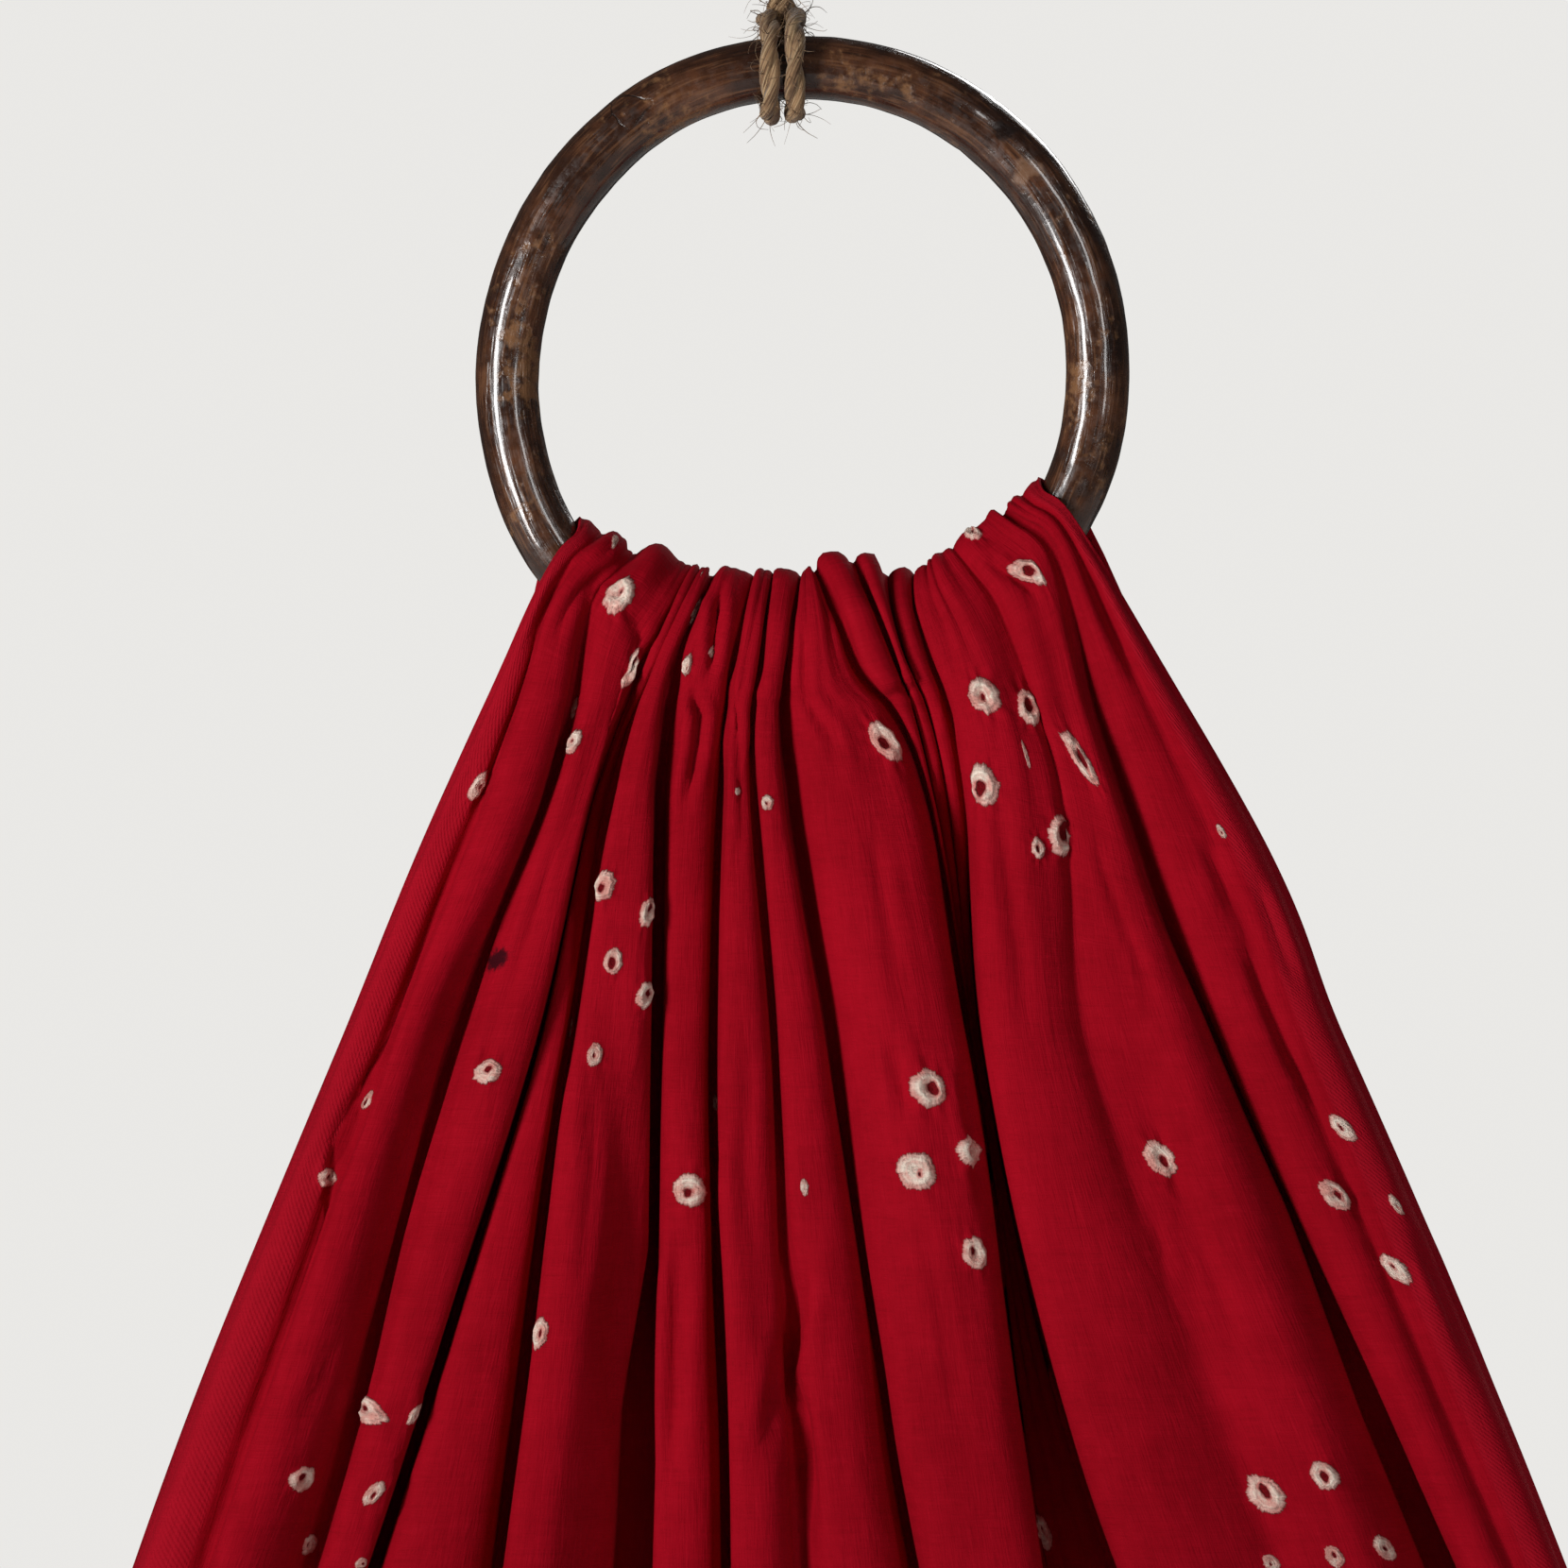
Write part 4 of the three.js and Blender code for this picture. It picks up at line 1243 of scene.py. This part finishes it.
def clothMesh():
    points, runs, flat, valleyness = clothGrid()
    points = addRelief(points, runs, flat, valleyness)
    high, wide = points.shape[:2]
    dots, shown = flatDots(points, runs, flat)
    bpy.ops.object.select_all(action="DESELECT")
    bpy.ops.mesh.primitive_grid_add(x_subdivisions=wide - 1, y_subdivisions=high - 1, size=1)
    sheet = bpy.context.object
    sheet.name = "bandhaniCloth"
    mesh = sheet.data
    mesh.vertices.foreach_set("co", (points.reshape(-1, 3) * mm + np.array(ringCentre)).ravel())
    rowOf, columnOf = np.divmod(np.arange(high * wide), wide)
    for name, values in (("gridRow", rowOf), ("gridColumn", columnOf)):
        layer = mesh.attributes.new(name, "FLOAT", "POINT")
        layer.data.foreach_set("value", values.astype(np.float32))
    mesh.update()
    thicken(sheet, runs[rowOf])
    raiseDots(mesh, points, runs, flat, dots[:shown])
    mapCloth(mesh, runs, flat, dots)
    bpy.ops.object.shade_smooth()
    smudge = onFlat(*gridPlaces(points, runs, [stain["place"]])[0], runs, flat)
    print("cloth grid", high, wide, "faces", len(mesh.polygons), "dots shown", shown, "of", len(dots))
    print("flat width in millimetres", round(2 * float(flat[-1])))
    return sheet, smudge


# each vertex's place on the grid and on the flat cloth
def flatPlaces(mesh, runs, flat):
    rows, columns = np.empty((2, len(mesh.vertices)), dtype=np.float32)
    mesh.attributes["gridRow"].data.foreach_get("value", rows)
    mesh.attributes["gridColumn"].data.foreach_get("value", columns)
    return rows, columns, *onFlat(rows, columns, runs, flat)


# makes the cloth's outer side finer round the given dots, and says which vertices lie wholly on that side
def refineRound(mesh, runs, flat, dots):
    across, along = flatPlaces(mesh, runs, flat)[2:]
    cells = (len(runs) - 1) * (len(flat) - 1)
    corners = np.array([tuple(mesh.polygons[k].vertices) for k in range(cells)])
    midAcross, midAlong = across[corners].mean(axis=1), along[corners].mean(axis=1)
    near = np.zeros(cells, dtype=bool)
    for dot in dots:
        reach = np.array(dot)
        reach[2:4] += pucker["finer"]
        near |= np.hypot(*fromDot(midAcross, midAlong, reach)) < pucker["finerReach"]
    form = bmesh.new()
    form.from_mesh(mesh)
    mark = form.faces.layers.int.new("outerSide")
    form.faces.ensure_lookup_table()
    outer = [form.faces[k] for k in range(cells)]
    for face in outer:
        face[mark] = 1
    edges = {edge for k in np.flatnonzero(near) for edge in outer[k].edges}
    bmesh.ops.subdivide_edges(form, edges=list(edges), cuts=2, use_grid_fill=True)
    onlyOuter = [all(face[mark] for face in vertex.link_faces) for vertex in form.verts]
    form.to_mesh(mesh)
    form.free()
    mesh.attributes.remove(mesh.attributes["outerSide"])
    return np.array(onlyOuter)


def raiseDots(mesh, points, runs, flat, dots):
    onlyOuter = refineRound(mesh, runs, flat, dots)
    rows, columns, across, along = flatPlaces(mesh, runs, flat)
    normals = gridNormals(points)
    lift = np.zeros(len(across))
    for dot in dots:
        x, y = fromDot(across, along, dot)
        close = np.hypot(x, y) < pucker["reach"]
        lift[close] += puckerAt(x[close], y[close], dot)
    moved = np.flatnonzero(onlyOuter & (np.abs(lift) > 1e-4))
    base = readGrid(points, rows[moved], columns[moved])
    out = readGrid(normals, rows[moved], columns[moved])
    places = np.empty(len(across) * 3, dtype=np.float32)
    mesh.vertices.foreach_get("co", places)
    places = places.reshape(-1, 3)
    raised = base + out * (lift[moved] + cloth["thick"] / 2)[:, None]
    places[moved] = raised * mm + np.array(ringCentre)
    mesh.vertices.foreach_set("co", places.ravel())
    mesh.update()


# two maps: the flat cloth in millimetres, and each face's place as seen from its nearest dot
def mapCloth(mesh, runs, flat, dots):
    rows, columns, across, along = flatPlaces(mesh, runs, flat)
    corners = np.empty(len(mesh.loops), dtype=np.int32)
    mesh.loops.foreach_get("vertex_index", corners)
    counts = np.empty(len(mesh.polygons), dtype=np.int32)
    mesh.polygons.foreach_get("loop_total", counts)
    faceOf = np.repeat(np.arange(len(counts)), counts)
    middles = [np.bincount(faceOf, values[corners]) / counts for values in (across, along)]
    best = np.full(len(counts), 99.0)
    which = np.zeros(len(counts), dtype=int)
    for k, dot in enumerate(dots):
        away = np.hypot(*fromDot(middles[0], middles[1], dot))
        closer = away < best
        best[closer] = away[closer]
        which[closer] = k
    dotOf = dots[which[faceOf]]
    x, y = fromDot(across[corners], along[corners], dotOf)
    # faces that no dot is near are mapped well outside any dot
    far = best[faceOf] > 3.5
    x[far], y[far] = 9, 9
    maps = {
        "clothMap": (across[corners], along[corners]),
        "dotMap": (x, y),
        "dotLook": (dotOf[:, 6] * 0.37 % 7, dotOf[:, 5]),
    }
    while mesh.uv_layers:
        mesh.uv_layers.remove(mesh.uv_layers[0])
    for name, pair in maps.items():
        layer = mesh.uv_layers.new(name=name)
        layer.data.foreach_set("uv", np.stack(pair, axis=1).astype(np.float32).ravel())
    for name in ("gridRow", "gridColumn"):
        mesh.attributes.remove(mesh.attributes[name])


# the cotton's colours, from its dye and threads to the parts of a tied dot, with painted shade in the dots
# and painted sheen on the selvedge
cotton = {
    "deepDye": (0.30, 0.0016, 0.0088),
    "fullDye": (0.385, 0.0027, 0.0128),
    "paleThread": (0.45, 0.005, 0.019),
    "darkThread": (0.16, 0.001, 0.004),
    # the selvedge band's paler pink: painted sheen
    "selvedge": (0.45, 0.009, 0.024),
    "selvedgeEnds": (10.6, 9.8),  # where the band fades out, from the edge
    "twillSlope": 0.8,
    "twillRibs": 8.6,
    "smudge": (0.012, 0.003, 0.006),
    "cream": (1, 0.83, 0.70),
    # painted pink shade inside the dots
    "paintedDotShade": (0.80, 0.37, 0.31),
    "dotEdge": (0.74, 0.24, 0.22),
    "tieLine": (0.76, 0.36, 0.31),
    "tieLines": 19.0,  # how close the lines of the tie lie
    "holeEdge": (0.62, 0.14, 0.13),
    "hole": (0.20, 0.006, 0.010),
    "holeGrows": 0.44,  # how much wider the hole is in a dot that is fully open
    "holeShape": (1.35, 1.05, 1),
    "holeAside": 0.2,
    "finish": {
        "Roughness": 0.8, "Specular IOR Level": 0.04, "Sheen Weight": 0.02, "Sheen Roughness": 0.5,
        "Sheen Tint": (1, 0.25, 0.3, 1),
    },
}


# the woven red: its colour, the shade of its threads and their height
def wovenCotton(tree, flatPlace):
    place = addNode(tree, "ShaderNodeTexCoord").outputs["Object"]
    turned = stretch(tree, flatPlace, (1, 1, 1), math.pi / 2)
    warp = useGroup(tree, streaks, flatPlace, {"Width": 0.26, "Length": 4.0, "Thick": 0.3})
    weft = useGroup(tree, streaks, turned, {"Width": 0.28, "Length": 5.0, "Thick": 0.4})
    dye = useGroup(tree, blotches, place, {"Large": 28.0, "Small": 150.0, "Low": 0.3, "High": 0.7})
    colour = blendColours(tree, dye.outputs["Mask"], cotton["deepDye"], cotton["fullDye"])
    threads = plus(tree, warp.outputs["Tint"], weft.outputs["Tint"])
    colour = blendColours(tree, remap(tree, threads, 1.0, 1.3, 0, 0.32), colour, cotton["paleThread"])
    colour = blendColours(tree, remap(tree, threads, 1.0, 0.7, 0, 0.26), colour, cotton["darkThread"])
    return colour, threads, plus(tree, warp.outputs["Height"], weft.outputs["Height"])


# a closer band along each side, with slanting ribs, and over it a paler pink tint that is painted sheen
def addSelvedge(tree, flatPlace, colour, edge):
    parts = separate(tree, flatPlace)
    fromEdge = sumUp(tree, "SUBTRACT", edge, sumUp(tree, "ABSOLUTE", parts[0]))
    selvedge = remap(tree, fromEdge, *cotton["selvedgeEnds"])
    slanted = plus(tree, parts[0], times(tree, parts[1], cotton["twillSlope"]))
    ribs = sumUp(tree, "SINE", times(tree, slanted, cotton["twillRibs"]))
    # the band's paler tint is painted sheen
    colour = blendColours(tree, times(tree, selvedge, 0.35), colour, cotton["selvedge"])
    return colour, times(tree, times(tree, ribs, selvedge), 0.3)


def addSmudge(tree, flatPlace, colour, middle):
    seen = addNode(tree, "ShaderNodeMapping", {
        "Location": (-middle[0] / stain["across"], -middle[1] / stain["along"], 0),
        "Scale": (1 / stain["across"], 1 / stain["along"], 1),
    })
    tree.links.new(flatPlace, seen.inputs["Vector"])
    away = vectorSum(tree, "LENGTH", seen.outputs[0], output="Value")
    soaked = plus(tree, away, noiseAt(tree, flatPlace, 0.9, 3.0, 0.6))
    return blendColours(tree, times(tree, remap(tree, soaked, 1.35, 0.9), 0.9), colour, cotton["smudge"])


# the tied dots: where they are, their colour with its painted pink shade, and their height
def tiedDotLook(tree):
    seen = addNode(tree, "ShaderNodeUVMap", uv_map="dotMap").outputs["UV"]
    look = separate(tree, addNode(tree, "ShaderNodeUVMap", uv_map="dotLook").outputs["UV"])
    number, opening = look[0], look[1]
    offset = combine(tree, *[times(tree, number, factor) for factor in (3.1, 5.7, 9.3)])

    def ownNoise(vector, scale, roughness):
        moved = vectorSum(tree, "MULTIPLY_ADD", vector, (scale, scale, scale), offset)
        return noiseAt(tree, moved, 1.0, 3.0, roughness)

    heading = vectorSum(tree, "NORMALIZE", seen)
    ragged = remap(tree, ownNoise(heading, 1.5, 0.6), 0.25, 0.75, 1.25, 0.9, False)
    fringe = remap(tree, ownNoise(heading, 8.5, 0.8), 0.3, 0.7, -0.07, 0.07, False)
    away = plus(tree, times(tree, vectorSum(tree, "LENGTH", seen, output="Value"), ragged), fringe)
    dot = remap(tree, away, 1.14, 1.05)
    inner = ownNoise(seen, 0.9, 0.6)

    # the hole lies a little to one side
    aside = combine(tree, *[
        times(tree, sumUp(tree, wave, times(tree, number, factor)), cotton["holeAside"])
        for wave, factor in (("SINE", 9.0), ("COSINE", 7.0))
    ])
    squeezed = vectorSum(tree, "MULTIPLY", vectorSum(tree, "ADD", seen, aside), cotton["holeShape"])
    fromHole = plus(tree, vectorSum(tree, "LENGTH", squeezed, output="Value"), times(tree, inner, 0.9))
    fromHole = sumUp(tree, "SUBTRACT", fromHole, times(tree, opening, cotton["holeGrows"]))
    hole = remap(tree, fromHole, 0.6, 0.5)

    # patches of painted pink shade over the dot's cream, spread by noise
    colour = blendColours(tree, remap(tree, inner, 0.35, 0.62), cotton["paintedDotShade"], cotton["cream"])
    colour = blendColours(tree, times(tree, remap(tree, away, 0.74, 1.12), 0.8), colour, cotton["dotEdge"])
    coils = sumUp(tree, "SINE", times(tree, plus(tree, away, times(tree, inner, 0.45)), cotton["tieLines"]))
    colour = blendColours(tree, remap(tree, coils, 0.3, 1, 0, 0.42), colour, cotton["tieLine"])
    nearHole = times(tree, remap(tree, fromHole, 0.78, 0.6), 0.75)
    colour = blendColours(tree, nearHole, colour, cotton["holeEdge"])
    colour = blendColours(tree, hole, colour, cotton["hole"])

    wall = sumUp(tree, "SUBTRACT", remap(tree, away, 1.15, 0.75), times(tree, hole, 1.3))
    height = plus(tree, wall, times(tree, times(tree, inner, dot), 1.2))
    height = sumUp(tree, "SUBTRACT", height, times(tree, times(tree, coils, dot), 0.12))
    return dot, colour, height


def cottonMaterial(edge, smudge):
    material, tree, shader = newMaterial("redCotton")
    flatPlace = addNode(tree, "ShaderNodeUVMap", uv_map="clothMap").outputs["UV"]
    colour, threads, weave = wovenCotton(tree, flatPlace)
    colour, twill = addSelvedge(tree, flatPlace, colour, edge)
    colour = addSmudge(tree, flatPlace, colour, smudge)
    dot, cream, dotHeight = tiedDotLook(tree)
    shaded = addNode(tree, "ShaderNodeVectorMath", operation="SCALE")
    tree.links.new(cream, shaded.inputs[0])
    tree.links.new(remap(tree, threads, 0.8, 1.25, 0.82, 1.1, False), shaded.inputs["Scale"])
    tree.links.new(blendColours(tree, dot, colour, shaded.outputs[0]), shader.inputs["Base Color"])
    setInputs(shader, cotton["finish"])

    # small wrinkles, then threads, then the dots
    wrinkles = noiseAt(tree, stretch(tree, flatPlace, (0.24, 0.05, 1)), 1.0, 3.0, 0.55, 0.6)
    normal = addBump(tree, wrinkles, 0.0006, 0.45)
    normal = addBump(tree, plus(tree, weave, twill), 0.00016, 0.6, normal)
    tree.links.new(addBump(tree, dotHeight, 0.0004, 0.9, normal), shader.inputs["Normal"])
    return material


def dressCloth():
    sheet, smudge = clothMesh()
    half = max(corner.uv.x for corner in sheet.data.uv_layers["clothMap"].data)
    sheet.data.materials.append(cottonMaterial(half, smudge))
    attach(sheet, "root")
    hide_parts("cloth")


dressCloth()
print("cloth draped")

# pale floor and soft studio light
studio = {
    "floorDrop": 245,
    "floorAcross": 1300,
    "floorGlow": 0.45,
    "backdrop": (0.82, 0.81, 0.79),
    "ambient": 0.035,
    "ambientColour": (1, 0.98, 0.96),
    "aim": (0, 0, -70),
    # each light's place, width, height and power
    "lights": {
        "keyLight": ((-1150, -1150, -60), 330, 1000, 24),
        "sideLight": ((900, -1500, 380), 200, 900, 5),
        "backLight": ((700, 1500, 900), 700, 700, 9),
    },
}


def addStage():
    bpy.ops.object.select_all(action="DESELECT")
    bpy.ops.mesh.primitive_circle_add(vertices=96, radius=studio["floorAcross"] / 2 * mm, fill_type="NGON",
                                      location=inFrame((0, 0, -studio["floorDrop"])))
    floor = bpy.context.object
    floor.name = "studioFloor"
    bpy.ops.object.transform_apply(location=True)
    plain, tree, shader = newMaterial("palePaper")
    pale = (*studio["backdrop"], 1)
    setInputs(shader, {"Base Color": pale, "Roughness": 0.9, "Emission Color": pale})

    # the paper looks as pale as the backdrop but sends no light up to the cloth
    path = addNode(tree, "ShaderNodeLightPath")
    glow = times(tree, path.outputs["Is Camera Ray"], studio["floorGlow"])
    tree.links.new(glow, shader.inputs["Emission Strength"])
    floor.data.materials.append(plain)


def addLight(name, place, wide, tall, power):
    bpy.ops.object.light_add(type="AREA", location=inFrame(place))
    light = bpy.context.object
    light.name = name
    light.data.shape = "RECTANGLE"
    light.data.size = wide * mm
    light.data.size_y = tall * mm
    light.data.energy = power
    light.rotation_euler = (Vector(studio["aim"]) - Vector(place)).to_track_quat("-Z", "Y").to_euler()


def addLighting():
    for name, values in studio["lights"].items():
        addLight(name, *values)
    world = bpy.data.worlds.new("studio")
    bpy.context.scene.world = world
    world.use_nodes = True
    tree = world.node_tree
    tree.nodes.clear()
    seen = addNode(tree, "ShaderNodeBackground", {"Color": (*studio["backdrop"], 1), "Strength": 1.0})
    soft = {"Color": (*studio["ambientColour"], 1), "Strength": studio["ambient"]}
    lit = addNode(tree, "ShaderNodeBackground", soft)
    path = addNode(tree, "ShaderNodeLightPath")
    both = addNode(tree, "ShaderNodeMixShader")
    output = addNode(tree, "ShaderNodeOutputWorld")
    tree.links.new(path.outputs["Is Camera Ray"], both.inputs[0])
    tree.links.new(lit.outputs[0], both.inputs[1])
    tree.links.new(seen.outputs[0], both.inputs[2])
    tree.links.new(both.outputs[0], output.inputs["Surface"])


addStage()
addLighting()
print("stage and lights set")
